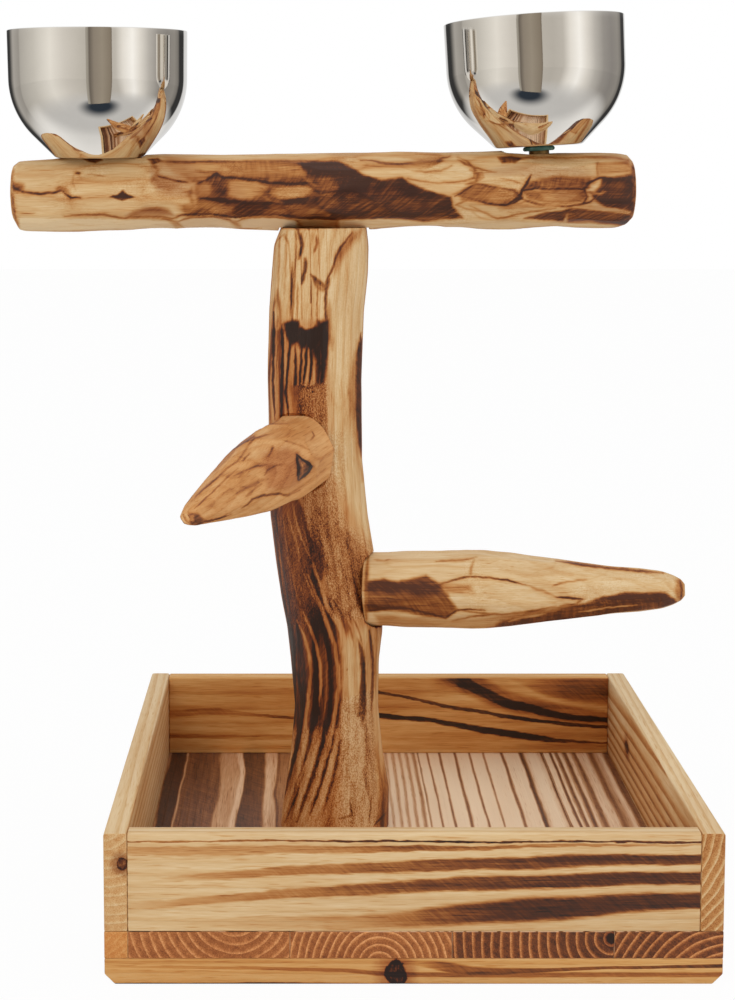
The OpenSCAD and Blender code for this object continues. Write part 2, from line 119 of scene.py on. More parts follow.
class Sheet:
    """A node sheet, of a material or of a group, with short calls that add and join nodes."""

    def __init__(self, tree: bpy.types.NodeTree) -> None:
        """Takes the sheet's node tree."""
        self.tree = tree

    def put(self, socket: Socket, value: Value) -> None:
        """Joins a socket to another one, or sets its value."""
        if isinstance(value, Socket):
            self.tree.links.new(value, socket)
        else:
            socket.default_value = value

    def add(self, kind: str, inputs: Optional[dict] = None, **settings: object) -> bpy.types.Node:
        """Adds a node.

        Args:
            kind: the node's type, without the words ShaderNode before it.
            inputs: sockets by name or number, and what each takes.
            settings: the node's own settings.

        Returns:
            The new node.
        """
        node = self.tree.nodes.new("ShaderNode" + kind)
        for key, value in settings.items():
            setattr(node, key, value)
        for key, value in (inputs or {}).items():
            self.put(node.inputs[key], value)
        return node

    def math(self, operation: str, a: Value, b: Value = 0.0, c: Value = 0.0) -> Socket:
        """One step of arithmetic."""
        return self.add("Math", {0: a, 1: b, 2: c}, operation=operation).outputs[0]

    def total(self, *parts: Value) -> Socket:
        """The sum of several values."""
        result = parts[0]
        for part in parts[1:]:
            result = self.math("ADD", result, part)
        return result

    def most(self, parts: Sequence[Value]) -> Socket:
        """The largest of several values."""
        result = parts[0]
        for part in parts[1:]:
            result = self.math("MAXIMUM", result, part)
        return result

    def times(self, a: Value, b: Value) -> Socket:
        """The product of two values."""
        return self.math("MULTIPLY", a, b)

    def swing(self, value: Value, amount: float) -> Socket:
        """A noise value turned into a swing to both sides of zero."""
        return self.math("MULTIPLY_ADD", value, 2.0 * amount, -amount)

    def fade(self, value: Value, start: Value, end: Value, low: float = 0.0,
             high: float = 1.0) -> Socket:
        """A soft step of a value, from low at start to high at end."""
        node = self.add("MapRange", {0: value, 1: start, 2: end, 3: low, 4: high},
                        interpolation_type="SMOOTHSTEP")
        return node.outputs[0]

    def mix(self, factor: Value, a: Value, b: Value, blend: str = "MIX") -> Socket:
        """A mix of two colours."""
        node = self.add("Mix", data_type="RGBA", blend_type=blend)
        for place, value in ((0, factor), (6, a), (7, b)):
            self.put(node.inputs[place], value)
        return node.outputs[2]

    def choose(self, factor: Value, a: Value, b: Value) -> Socket:
        """A mix of two numbers."""
        node = self.add("Mix", data_type="FLOAT")
        for place, value in ((0, factor), (2, a), (3, b)):
            self.put(node.inputs[place], value)
        return node.outputs[0]

    def ramp(self, factor: Value, stops: Sequence,
             interpolation: str = "LINEAR") -> Socket:
        """A colour ramp.

        Args:
            factor: what runs along the ramp.
            stops: places with a grey, three numbers or a hex code each.
            interpolation: how it runs between the stops.

        Returns:
            The ramp's colour.
        """
        node = self.add("ValToRGB", {0: factor})
        elements = node.color_ramp.elements
        node.color_ramp.interpolation = interpolation
        while len(elements) < len(stops):
            elements.new(0.5)
        for element, (place, tint) in zip(elements, stops):
            element.position = place
            if isinstance(tint, str):
                element.color = srgb(tint)
            else:
                element.color = (*tint, 1.0) if hasattr(tint, "__len__") else (tint, tint, tint, 1.0)
        return node.outputs[0]

    def noise(self, vector: Value, by: Sequence[float], detail: float = 2.0,
              roughness: float = 0.5) -> Socket:
        """The value of a noise texture, of a vector whose parts are multiplied first."""
        given = {"Vector": self.vector_math("MULTIPLY", vector, by), "Scale": 1.0, "Detail": detail,
                 "Roughness": roughness}
        return self.add("TexNoise", given).outputs[0]

    def vector_math(self, operation: str, a: Value, b: Value) -> Socket:
        """One step of arithmetic on vectors."""
        return self.add("VectorMath", {0: a, 1: b}, operation=operation).outputs[0]

    def length(self, vector: Value) -> Socket:
        """A vector's length."""
        return self.add("VectorMath", {0: vector}, operation="LENGTH").outputs["Value"]

    def parts(self, vector: Value) -> tuple:
        """The three numbers of a vector."""
        outputs = self.add("SeparateXYZ", {0: vector}).outputs
        return outputs[0], outputs[1], outputs[2]

    def joined(self, x: Value, y: Value, z: Value) -> Socket:
        """A vector of three numbers."""
        return self.add("CombineXYZ", {0: x, 1: y, 2: z}).outputs[0]

    def place(self) -> Socket:
        """Where a point is, in the piece's own frame."""
        return self.add("TexCoord").outputs["Object"]

    def carried(self, name: str, output: str = "Fac") -> Socket:
        """A value that the piece's mesh carries at its points."""
        return self.add("Attribute", attribute_name=name).outputs[output]

    def effect(self, name: str, inputs: dict) -> bpy.types.Node:
        """Places one of the shared effects."""
        node = self.add("Group", node_tree=bpy.data.node_groups[name])
        for key, value in inputs.items():
            self.put(node.inputs[key], value)
        return node

    def glow(self, color: Value) -> Socket:
        """A shader that glows in a colour at strength 1."""
        return self.add("Emission", {"Color": color, "Strength": 1.0}).outputs[0]

    def backdrop(self, color: Value, strength: float = 1.0) -> Socket:
        """A world's shader of a colour."""
        return self.add("Background", {"Color": color, "Strength": strength}).outputs[0]

    def between(self, share: Value, a: Value, b: Value) -> Socket:
        """A mix of two shaders."""
        return self.add("MixShader", {0: share, 1: a, 2: b}).outputs[0]

    def rays(self) -> tuple[Socket, Socket]:
        """Whether a ray comes straight from the camera, and whether a mirror sent it."""
        path = self.add("LightPath").outputs
        seen = self.math("MAXIMUM", path["Is Camera Ray"], path["Is Transmission Ray"])
        return seen, path["Is Glossy Ray"]

    def surface(self, color: Value, roughness: Value, height: Value, depth: float,
                **plain: float) -> None:
        """Ends a material in its shader.

        Args:
            color: the base colour.
            roughness: the roughness.
            height: the bump's height, 0 to 1.
            depth: how deep the bump is, in metres.
            plain: the shader's other sockets by name, with _ for spaces, one number each.
        """
        bump = self.add("Bump", {"Height": height, "Distance": depth, "Strength": 1.0})
        shader = self.add("BsdfPrincipled", {"Base Color": color, "Roughness": roughness,
                                             "Normal": bump.outputs[0]})
        for key, value in plain.items():
            shader.inputs[key.replace("_", " ")].default_value = value
        self.add("OutputMaterial", {0: shader.outputs[0]})


def new_material(name: str) -> tuple[bpy.types.Material, Sheet]:
    """A new material with an empty node sheet."""
    material = bpy.data.materials.new(name)
    material.use_nodes = True
    material.node_tree.nodes.clear()
    return material, Sheet(material.node_tree)


class Effects:
    """The effects that several finishes share, each a node group that is made once."""

    def build(self) -> None:
        """Makes each group."""
        self.growth_rings()
        self.fibres()
        self.flame_line()
        self.specks()
        self.knot()

    @staticmethod
    def group(name: str, inputs: dict,
              outputs: Sequence[str]) -> tuple[Sheet, dict, bpy.types.Node]:
        """A new node group.

        Args:
            name: the group's name.
            inputs: each input with its usual value, a number or three numbers.
            outputs: each output's name. They are all numbers.

        Returns:
            The group's sheet, its inputs' sockets by name, and its output node.
        """
        tree = bpy.data.node_groups.new(name, "ShaderNodeTree")
        for key, value in inputs.items():
            kind = "Vector" if hasattr(value, "__len__") else "Float"
            socket = tree.interface.new_socket(key, in_out="INPUT", socket_type="NodeSocket" + kind)
            socket.default_value = value
        for key in outputs:
            tree.interface.new_socket(key, in_out="OUTPUT", socket_type="NodeSocketFloat")
        entry = tree.nodes.new("NodeGroupInput")
        return Sheet(tree), {s.name: s for s in entry.outputs if s.name}, tree.nodes.new("NodeGroupOutput")

    def growth_rings(self) -> None:
        """Growth rings round a pith that runs along the vector's X."""
        sheet, given, out = self.group(
            "growth_rings", {"Vector": (0, 0, 0), "Pitch": 0.004, "Wander": 0.002}, ("Late",))
        _, y, z = sheet.parts(given["Vector"])
        radius = sheet.math("SQRT", sheet.total(sheet.times(y, y), sheet.times(z, z)))
        sway = sheet.noise(given["Vector"], (4.0, 26.0, 26.0), detail=3.0)
        bent = sheet.math("MULTIPLY_ADD", sheet.math("SUBTRACT", sway, 0.5),
                          sheet.times(given["Wander"], 2.0), radius)
        phase = sheet.math("FRACT", sheet.math("DIVIDE", bent, given["Pitch"]))
        late = sheet.times(sheet.fade(phase, 0.30, 0.86), sheet.fade(phase, 0.90, 1.0, 1.0, 0.0))
        sheet.put(out.inputs["Late"], late)

    def fibres(self) -> None:
        """Streaks and fine fibres along the vector's X, and the slanting marks of a plane."""
        sheet, given, out = self.group("fibres", {"Vector": (0, 0, 0)},
                                       ("Streak", "Fine", "Hatch", "Pores"))
        vector = given["Vector"]
        streak = sheet.noise(vector, (14, 300, 300), detail=3.0, roughness=0.6)
        sheet.put(out.inputs["Streak"], streak)
        sheet.put(out.inputs["Fine"], sheet.noise(vector, (90, 1700, 1700)))
        pores = sheet.noise(vector, (70, 1500, 1500), detail=1.0)
        sheet.put(out.inputs["Pores"], sheet.fade(pores, 0.60, 0.74))
        turned = sheet.add("Mapping", {"Vector": vector, "Rotation": (0.3, 0.75, 0.75)}).outputs[0]
        sheet.put(out.inputs["Hatch"], sheet.noise(turned, (1100, 90, 90)))

    def flame_line(self) -> None:
        """One burnt band across a board: Line holds its centre, half width and strength."""
        sheet, given, out = self.group(
            "flame_line", {"Height": 0.0, "Line": (0, 0, 0), "Softness": 0.3}, ("Burn",))
        centre, half, strength = sheet.parts(given["Line"])
        away = sheet.math("ABSOLUTE", sheet.math("SUBTRACT", given["Height"], centre))
        share = sheet.math("DIVIDE", away, sheet.math("MAXIMUM", sheet.times(half, BAND_SCALE), 0.0005))
        inside = sheet.fade(share, sheet.total(1.0, given["Softness"]),
                            sheet.math("SUBTRACT", 1.0, given["Softness"]))
        sheet.put(out.inputs["Burn"], sheet.times(inside, strength))

    def specks(self) -> None:
        """Small dark and light specks of scorched resin."""
        sheet, given, out = self.group("specks", {"Vector": (0, 0, 0)}, ("Specks",))
        small = sheet.noise(given["Vector"], (1100, 1900, 1900), roughness=0.7)
        wide = sheet.noise(given["Vector"], (160, 320, 320))
        both = sheet.total(sheet.fade(small, 0.38, 0.62), sheet.swing(wide, 0.5))
        sheet.put(out.inputs["Specks"], both)

    def knot(self) -> None:
        """A knot: a dark heart, its bark ring, and a scorched halo round it."""
        sheet, given, out = self.group(
            "knot", {"Vector": (0, 0, 0), "Centre": (0, 0, 0), "Size": (1, 1, 1)}, ("Heart", "Halo"))
        away = sheet.vector_math("SUBTRACT", given["Vector"], given["Centre"])
        reach = sheet.length(sheet.vector_math("DIVIDE", away, given["Size"]))
        rough = sheet.noise(given["Vector"], (260, 260, 260), detail=3.0)
        reach = sheet.total(reach, sheet.swing(rough, 0.42))
        rim = sheet.times(sheet.fade(reach, 0.45, 0.8), sheet.fade(reach, 0.9, 1.1, 1.0, 0.0))
        grit = sheet.noise(given["Vector"], (900, 900, 380))
        heart = sheet.total(sheet.times(sheet.fade(reach, 1.05, 0.85), 0.72), sheet.times(rim, 0.3))
        heart = sheet.times(heart, sheet.fade(grit, 0.3, 0.6, 0.62, 1.05))
        sheet.put(out.inputs["Heart"], heart)
        sheet.put(out.inputs["Halo"], sheet.fade(reach, 2.4, 0.9))


class SolidNoise:
    """Smooth noise in space, the same at each run."""

    def __init__(self, seed: int, size: int = 32) -> None:
        """Draws the noise's lattice of values."""
        self.size = size
        self.values = np.random.default_rng(seed).uniform(-1.0, 1.0, (size, size, size))

    def at(self, points: np.ndarray) -> np.ndarray:
        """The noise at points.

        Args:
            points: an array whose last axis holds three numbers, in lattice steps.

        Returns:
            Values from -1 to 1.
        """
        cell = np.floor(points).astype(int)
        t = points - cell
        t = t * t * (3.0 - 2.0 * t)
        result = 0.0
        for corner in range(8):
            step = np.array([corner & 1, corner >> 1 & 1, corner >> 2 & 1])
            place = (cell + step) % self.size
            weight = np.prod(np.where(step, t, 1.0 - t), axis=-1)
            result = result + weight * self.values[place[..., 0], place[..., 1], place[..., 2]]
        return result


@dataclass(frozen=True)
class Sight:
    """The main view: where the camera stands, how it is aimed, and what it frames."""

    place: tuple[float, float, float] = (-0.02105, -0.9307, 0.3926)
    pitch: float = 5.0
    focal: float = 1710.0
    centre: tuple[float, float] = (305.0, 321.6)
    picture: tuple[float, float] = (735.0, 1000.0)
    sensor: float = 36.0

    def seen(self, points: np.ndarray) -> np.ndarray:
        """Where points lie in the picture, in its pixels from the top left."""
        away = points - np.array(self.place)
        c, s = math.cos(math.radians(self.pitch)), math.sin(math.radians(self.pitch))
        depth = away[..., 1] * c - away[..., 2] * s
        rise = away[..., 1] * s + away[..., 2] * c
        return np.stack([self.centre[0] + self.focal * away[..., 0] / depth,
                         self.centre[1] - self.focal * rise / depth], axis=-1)

    def camera(self) -> None:
        """Sets up the scene's camera."""
        data = bpy.data.cameras.new("main_view")
        tall = self.picture[1]
        data.sensor_width = self.sensor
        data.lens = self.focal / tall * self.sensor
        data.shift_x = (self.picture[0] / 2 - self.centre[0]) / tall
        data.shift_y = (self.centre[1] - tall / 2) / tall
        data.clip_start, data.clip_end = 0.02, 30.0
        camera = linked("main_view", data)
        camera.location = self.place
        camera.rotation_euler = (math.radians(90.0 - self.pitch), 0.0, 0.0)
        bpy.context.scene.camera = camera


SIGHT = Sight()


class Layer(Enum):
    """What a mark changes on a log, by the name that its mesh carries it under."""

    BURN = "burn"
    BAND = "band"
    SPECK = "speck"
    STAIN = "stain"


@dataclass(frozen=True)
class Mark:
    """One burn, pale patch, crack or stain, or a line or patch of painted shade or light, laid on a log as
    it is seen from the front.

    The path is in the main view's pixels. A mark is a line of a half width, or a filled patch.
    """

    layer: Layer
    value: float
    half: float
    soft: float
    path: str
    filled: bool = False

    def points(self) -> np.ndarray:
        """The path's points."""
        return np.array([[float(n) for n in pair.split(",")] for pair in self.path.split()])

    def cover(self, seen: np.ndarray) -> np.ndarray:
        """How much of the mark each seen point gets, 0 to 1."""
        path = self.points()
        if self.filled:
            path = np.vstack([path, path[:1]])
        nearest = np.full(len(seen), 1e9)
        half = np.full(len(seen), self.half)
        inside = np.zeros(len(seen), bool)
        lengths = np.linalg.norm(np.diff(path, axis=0), axis=1)
        whole, before = max(lengths.sum(), 1e-6), 0.0
        for (a, b), length in zip(zip(path[:-1], path[1:]), lengths):
            run = b - a
            t = np.clip(((seen - a) @ run) / max(run @ run, 1e-9), 0.0, 1.0)
            away = np.linalg.norm(seen - a - t[:, None] * run, axis=1)
            closer = away < nearest
            share = (before + t * length) / whole
            taper = np.clip(np.minimum(share, 1.0 - share) * 5.0, 0.12, 1.0) ** 0.6
            half = np.where(closer, self.half * taper, half)
            nearest = np.where(closer, away, nearest)
            before += length
            if self.filled and a[1] != b[1]:
                crosses = (a[1] > seen[:, 1]) != (b[1] > seen[:, 1])
                inside ^= crosses & (seen[:, 0] < run[0] * (seen[:, 1] - a[1]) / run[1] + a[0])
        if self.filled:
            signed = np.where(inside, -nearest, nearest)
            return 1.0 - smooth(signed, -self.soft / 2, self.soft / 2)
        return 1.0 - smooth(nearest - half, -self.soft / 2, self.soft / 2)


def line(layer: Layer, value: float, half: float, path: str, soft: float = 1.6) -> Mark:
    """A drawn line."""
    return Mark(layer, value, half, soft, path)


def patch(layer: Layer, value: float, soft: float, path: str) -> Mark:
    """A filled patch."""
    return Mark(layer, value, 0.0, soft, path, True)


def stroke(value: float, half: float, path: str, soft: float = 1.6) -> Mark:
    """A burnt line, or a dark line of painted shade."""
    return line(Layer.BURN, value, half, path, soft)


def scorch(value: float, soft: float, path: str) -> Mark:
    """A burnt patch, or a paler patch of painted light."""
    return patch(Layer.BURN, value, soft, path)


def faded(marks: Sequence[Mark], times: float) -> tuple[Mark, ...]:
    """The same marks with the patches' edges softer, for a log's back."""
    return tuple(replace(mark, soft=mark.soft * times) if mark.filled else mark for mark in marks)


def new_object(name: str, mesh: bpy.types.Mesh, material: bpy.types.Material,
               nodes: Sequence[str], body: str = STAND) -> bpy.types.Object:
    """Links a finished piece and joins it to the frame.

    Args:
        name: the piece's name.
        mesh: its mesh, already in place.
        material: what it is dressed in.
        nodes: the CAD nodes that it stands for.
        body: the CAD body that it rides on.

    Returns:
        The new object.
    """
    mesh.materials.clear()
    mesh.materials.append(material)
    piece = linked(name, mesh)
    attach(piece, body)
    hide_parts(*nodes)
    log.info("%s: %d faces, rides on %s", name, len(mesh.polygons), body)
    return piece


def bmesh_to_mesh(bm: bmesh.types.BMesh, name: str, sharp: float = 35.0) -> bpy.types.Mesh:
    """Turns a bmesh into a smooth-shaded mesh whose edges over an angle stay sharp."""
    bmesh.ops.recalc_face_normals(bm, faces=bm.faces)
    mesh = plain_mesh(bm, name)
    mesh.shade_smooth()
    mesh.set_sharp_from_angle(angle=math.radians(sharp))
    return mesh


@dataclass(frozen=True)
class LogFinish:
    """The finish of a carved log: its tone, and how strongly each effect shows."""

    name: str
    tone: Tone
    pith: tuple[float, float] = (0.006, 0.009)
    pitch: float = 0.0034
    rings: float = 0.10
    streak: float = 0.16
    fine: float = 0.14
    hatch: float = 0.20
    ridge: float = 0.38
    pores: float = 0.14
    specks: float = 0.21
    char: float = 1.0
    stain: str = "#A4583A"
    shade: str = "#D8C4B0"
    relief: float = 0.0005

    def material(self) -> bpy.types.Material:
        """The finish's material, which reads the values that the log's mesh carries."""
        material, sheet = new_material(self.name)
        grain = sheet.carried("grain", "Vector")
        burn, band, cap = (sheet.carried(n) for n in ("burn", "band", "cap"))
        fibres = sheet.effect("fibres", {"Vector": grain}).outputs
        about = sheet.vector_math("ADD", grain, (0.0, *self.pith))
        rings = sheet.effect("growth_rings", {"Vector": about, "Pitch": self.pitch,
                                              "Wander": 0.002}).outputs["Late"]
        sway = sheet.noise(grain, (22, 160, 160))
        phase = sheet.math("FRACT", sheet.total(sheet.carried("ring"), sheet.swing(sway, 0.16)))
        beside = sheet.math("ABSOLUTE", sheet.swing(phase, 1.0))
        stripe = sheet.fade(sheet.math("SUBTRACT", band, beside), -0.12, 0.16)
        specks = sheet.effect("specks", {"Vector": grain}).outputs[0]
        dark = sheet.fade(burn, 0.25, 0.7)
        amount = sheet.total(
            burn,
            sheet.times(stripe, sheet.math("MULTIPLY_ADD", band, 0.5, 0.16)),
            sheet.times(sheet.carried("ridge"),
                        sheet.math("MULTIPLY_ADD", burn, self.ridge * 1.3, self.ridge * 0.45)),
            sheet.times(rings, sheet.math("MULTIPLY_ADD", cap, 0.3, self.rings)),
            sheet.swing(fibres["Streak"], self.streak),
            sheet.swing(fibres["Fine"], self.fine),
            sheet.times(fibres["Pores"], self.pores),
            sheet.times(sheet.swing(fibres["Hatch"], self.hatch), dark),
            sheet.times(sheet.swing(specks, self.specks), sheet.carried("speck")),
        )
        color = sheet.ramp(sheet.math("MINIMUM", amount, self.char), self.tone.value)
        stained = sheet.times(sheet.carried("stain"), 0.55)
        color = sheet.mix(stained, color, srgb(self.stain), "MULTIPLY")
        shade = sheet.noise(grain, (25, 60, 60), detail=1.0)
        shaded = sheet.fade(shade, 0.35, 0.65, 0.0, 0.16)
        color = sheet.mix(shaded, color, srgb(self.shade), "MULTIPLY")
        charred = sheet.total(burn, sheet.swing(fibres["Streak"], 0.3))
        roughness = sheet.fade(charred, 0.0, 1.0, 0.66, 0.5)
        height = sheet.total(sheet.times(fibres["Streak"], 0.5), sheet.times(fibres["Fine"], 0.25),
                             sheet.times(stripe, -0.18), sheet.times(rings, 0.2),
                             sheet.times(sheet.times(specks, sheet.carried("speck")), 0.2))
        sheet.surface(color, roughness, height, self.relief, Specular_IOR_Level=PINE_SHINE)
        return material


@dataclass(frozen=True)
class Cut:
    """One scoop of the draw-knife: its place along and round a log, its length, depth and slant."""

    along: float
    angle: float
    length: float
    depth: float
    slant: float = 0.0


@dataclass
class CarvedLog:
    """A log, carved flat by flat, torched, and painted with its marks.

    Rings are [share of the length, centre's shift x, shift y, radius x, radius y], in metres.
    """

    name: str
    node: str
    slot: str
    origin: Vector
    across: Vector
    beside: Vector
    along: Vector
    length: float
    rings: list
    sides: int
    twist: float
    finish: LogFinish
    around: int
    steps: int
    marks: Sequence[Mark] = ()
    back_marks: Sequence[Mark] = ()
    cuts: Sequence[Cut] = ()
    cut_length: float = 0.042
    cut_depth: tuple[float, float] = (0.035, 0.075)
    free: tuple[float, float] = (0.0, 360.0)
    base_burn: float = 0.14
    patchy: float = 0.22
    banded: float = 0.0
    halo: float = 0.0
    seed: int = 1
    front: float = 270.0
    dense: float = 0.45
    cap_rows: int = 9
    ring_gap: float = 0.0042
    facet: float = 0.22
    swell: float = 0.006
    dimple: float = 0.0035
    end_lumps: float = 0.6 * MM
    back_strength: float = 0.9

    def section(self, s: np.ndarray) -> np.ndarray:
        """The log's centre and radii at places along it."""
        table = np.array(self.rings, float)
        places = table[:, 0] * self.length
        fine = np.arange(-0.012, self.length + 0.012, 0.0005)
        rows = []
        for column in range(1, 5):
            values = np.interp(fine, places, table[:, column])
            kernel = np.hanning(2 * 8 + 1)
            padded = np.pad(values, 8, mode="edge")
            eased = np.convolve(padded, kernel / kernel.sum(), mode="valid")
            ends = smooth(np.minimum(fine, self.length - fine), 0.001, 0.008)
            rows.append(np.interp(s, fine, values + (eased - values) * ends))
        return np.array(rows)

    def all_cuts(self) -> list[Cut]:
        """The given cuts, and others at random where the log is free."""
        rng = np.random.default_rng(self.seed)
        found = list(self.cuts)
        step = 360.0 / self.sides
        for side in range(self.sides):
            place = -rng.uniform(0.0, 0.6) * self.cut_length
            while place < self.length:
                size = self.cut_length * rng.uniform(0.75, 1.35)
                middle = place + size / 2
                angle = (step * (side + 0.5) - self.twist * middle / self.length
                         + rng.uniform(-0.16, 0.16) * step) % 360.0
                depth = rng.uniform(*self.cut_depth)
                low, high = self.free
                if low <= angle <= high:
                    found.append(Cut(middle, angle, size * 1.15, depth, rng.uniform(-6, 6)))
                place += size * 0.86
        return found

    def grid(self) -> tuple[np.ndarray, np.ndarray, np.ndarray]:
        """The sheet that is rolled up into the log, with the rows that close its ends.

        Returns:
            How far along the log each row is, how far it is drawn in, and each column's angle.
        """
        turn = 2 * math.pi * np.linspace(0.0, 1.0, self.around + 1)
        start = math.radians(self.front) - math.pi
        angle = start + turn + self.dense * np.sin(turn)
        s = np.linspace(0.0, 1.0, self.steps + 1)
        s = (s - 0.035 * np.sin(2 * math.pi * s) / (2 * math.pi)) * self.length
        cap = np.linspace(0.0, 1.0, self.cap_rows)[:-1]
        places = np.concatenate([np.zeros(len(cap)), s, np.full(len(cap), self.length)])
        return places, np.concatenate([cap, np.ones(len(s)), cap[::-1]]), angle

    def carved(self, degrees: np.ndarray, along: np.ndarray,
               mean: np.ndarray) -> tuple[np.ndarray, np.ndarray]:
        """The log's facets.

        Args:
            degrees: how far round the log each point is.
            along: how far along it.
            mean: the log's mean radius there.

        Returns:
            Each point's share of the full radius, and how near it is to a ridge between cuts.
        """
        step = 360.0 / self.sides
        turned = (degrees + self.twist * along / self.length) % step - step / 2
        flat = math.cos(math.radians(step / 2)) / np.cos(np.radians(turned))
        best = (1.0 - self.facet * (1.0 - flat)) * 1.002
        second = np.full(degrees.shape, UNCUT)
        for cut in self.all_cuts():
            far = along - cut.along
            middle = cut.angle + cut.slant * far / max(cut.length, 1e-6)
            side = np.radians((degrees - middle + 180.0) % 360.0 - 180.0)
            rise = cut.depth * (far / (cut.length / 2)) ** 2 * 0.9
            level = (1.0 - cut.depth + rise) / np.maximum(np.cos(side), 0.2)
            level = np.where(np.abs(side) < 1.2, level, UNCUT)
            second = np.minimum(second, np.maximum(level, best))
            best = np.minimum(best, level)
        gap = np.clip((second - best) * mean * 1000.0, 0.0, 9.0)
        return best, 0.6 * np.exp(-gap / 0.30) + 0.4 * np.exp(-gap / 1.3)

    def surface(self) -> tuple[np.ndarray, np.ndarray, dict]:
        """The log on a sheet of rows and columns: its points, their grain, and their values."""
        places, shrink, angle = self.grid()
        shrink = shrink[:, None]
        on_side = shrink > 0.99
        shift_x, shift_y, radius_x, radius_y = (row[:, None] for row in self.section(places))
        mean = (radius_x + radius_y) / 2
        a = np.broadcast_to(angle[None, :], (len(places), len(angle)))
        along = np.broadcast_to(places[:, None], a.shape)
        facets, ridge = self.carved(np.degrees(a), along, mean)
        noise = SolidNoise(self.seed + 7)
        solid = np.stack([along * 1000, mean * 1000 * np.cos(a), mean * 1000 * np.sin(a)], axis=-1)

        def lumps(long: float, wide: float, shift: float) -> np.ndarray:
            """Noise with lumps that are so long and wide, in millimetres."""
            return noise.at(solid / np.array([long, wide, wide]) + shift)

        low, fine = lumps(34.0, 11.0, 0.0), lumps(9.0, 2.6, 5.0)
        factor = facets * (1.0 + self.swell * low) + self.dimple * fine * on_side
        x = shift_x + radius_x * factor * shrink * np.cos(a)
        y = shift_y + radius_y * factor * shrink * np.sin(a)
        ends = (1.0 - shrink) * self.end_lumps * fine
        w = along + np.where(along < self.length / 2, 1.0, -1.0) * np.abs(ends)
        points = (np.array(self.origin) + x[..., None] * np.array(self.across)
                  + y[..., None] * np.array(self.beside) + w[..., None] * np.array(self.along))
        patches = lumps(60.0, 17.0, 11.0)
        torched = smooth(patches + 0.35 * lumps(45.0, 4.5, 3.0), -0.2, 0.75)
        values = {
            "burn": self.base_burn + self.patchy * torched,
            "band": self.banded * (0.5 + 0.5 * smooth(patches, -0.1, 0.5)),
            "ring": (x + 0.55 * y) / self.ring_gap,
            "ridge": ridge * on_side * (0.35 + 0.65 * smooth(low + patches, -0.6, 0.5)),
            "speck": 0.25 * smooth(lumps(15.0, 15.0, 21.0), 0.1, 0.6),
            "stain": 0.5 * smooth(lumps(30.0, 10.0, 31.0), 0.15, 0.6),
            "cap": np.broadcast_to(~on_side * 1.0, a.shape).copy(),
        }
        return points, np.stack([w, x - shift_x, y - shift_y], axis=-1), values

    def fit(self, points: np.ndarray) -> np.ndarray:
        """A plain log has no seats or flats to cut, so its points stay as they are."""
        return points

    def paint(self, points: np.ndarray, values: dict) -> None:
        """Lays the marks on the points that face the camera, and the back's on those behind."""
        normal = np.cross(np.gradient(points, axis=1), np.gradient(points, axis=0))
        normal /= np.maximum(np.linalg.norm(normal, axis=-1, keepdims=True), 1e-12)
        centre = points.mean(axis=1, keepdims=True)
        normal *= np.sign(((points - centre) * normal).sum(axis=-1).mean())
        self.lay(points, normal, values, self.marks, 1.0)
        about = points.copy()
        about[..., :2] = 2 * centre[..., :2] - points[..., :2]
        behind = normal * np.array([-1.0, -1.0, 1.0])
        self.lay(about, behind, values, self.back_marks, self.back_strength)

    def lay(self, points: np.ndarray, normal: np.ndarray, values: dict, marks: Sequence[Mark],
            strength: float) -> None:
        """Lays marks on points as the main view shows them.

        Args:
            points: the log's points.
            normal: their outward directions.
            values: the layers that are painted.
            marks: what is laid, in order.
            strength: how strongly.
        """
        toward = np.array(SIGHT.place) - points
        toward /= np.linalg.norm(toward, axis=-1, keepdims=True)
        facing = smooth((normal * toward).sum(axis=-1), 0.02, 0.22) * strength
        noise = SolidNoise(self.seed + 19)
        seen = SIGHT.seen(points)
        wobble = [noise.at(points * 1000 / 3.1 + k) + 0.5 * noise.at(points * 1000 / 1.3 + k)
                  for k in (0.0, 40.0)]
        seen = (seen + 0.55 * np.stack(wobble, axis=-1)).reshape(-1, 2)
        facing = facing.reshape(-1)
        for mark in marks:
            path = mark.points()
            reach = mark.half + max(mark.soft, HALO_SOFT) + 2.0
            low, high = path.min(axis=0) - reach, path.max(axis=0) + reach
            inside = (seen >= low).all(axis=1) & (seen <= high).all(axis=1)
            chosen = np.flatnonzero((facing > 0.0) & inside)
            if not len(chosen):
                continue
            name = mark.layer.value
            layer = values[name].reshape(-1)
            if self.halo and mark.layer is Layer.BURN and not mark.filled and mark.value > 0.4:
                wide = replace(mark, half=mark.half + 0.6, soft=HALO_SOFT)
                glow = wide.cover(seen[chosen]) * facing[chosen]
                layer[chosen] += np.maximum(mark.value - layer[chosen], 0.0) * glow * self.halo
            layer[chosen] += (mark.value - layer[chosen]) * mark.cover(seen[chosen]) * facing[chosen]
            values[name] = layer.reshape(points.shape[:2])

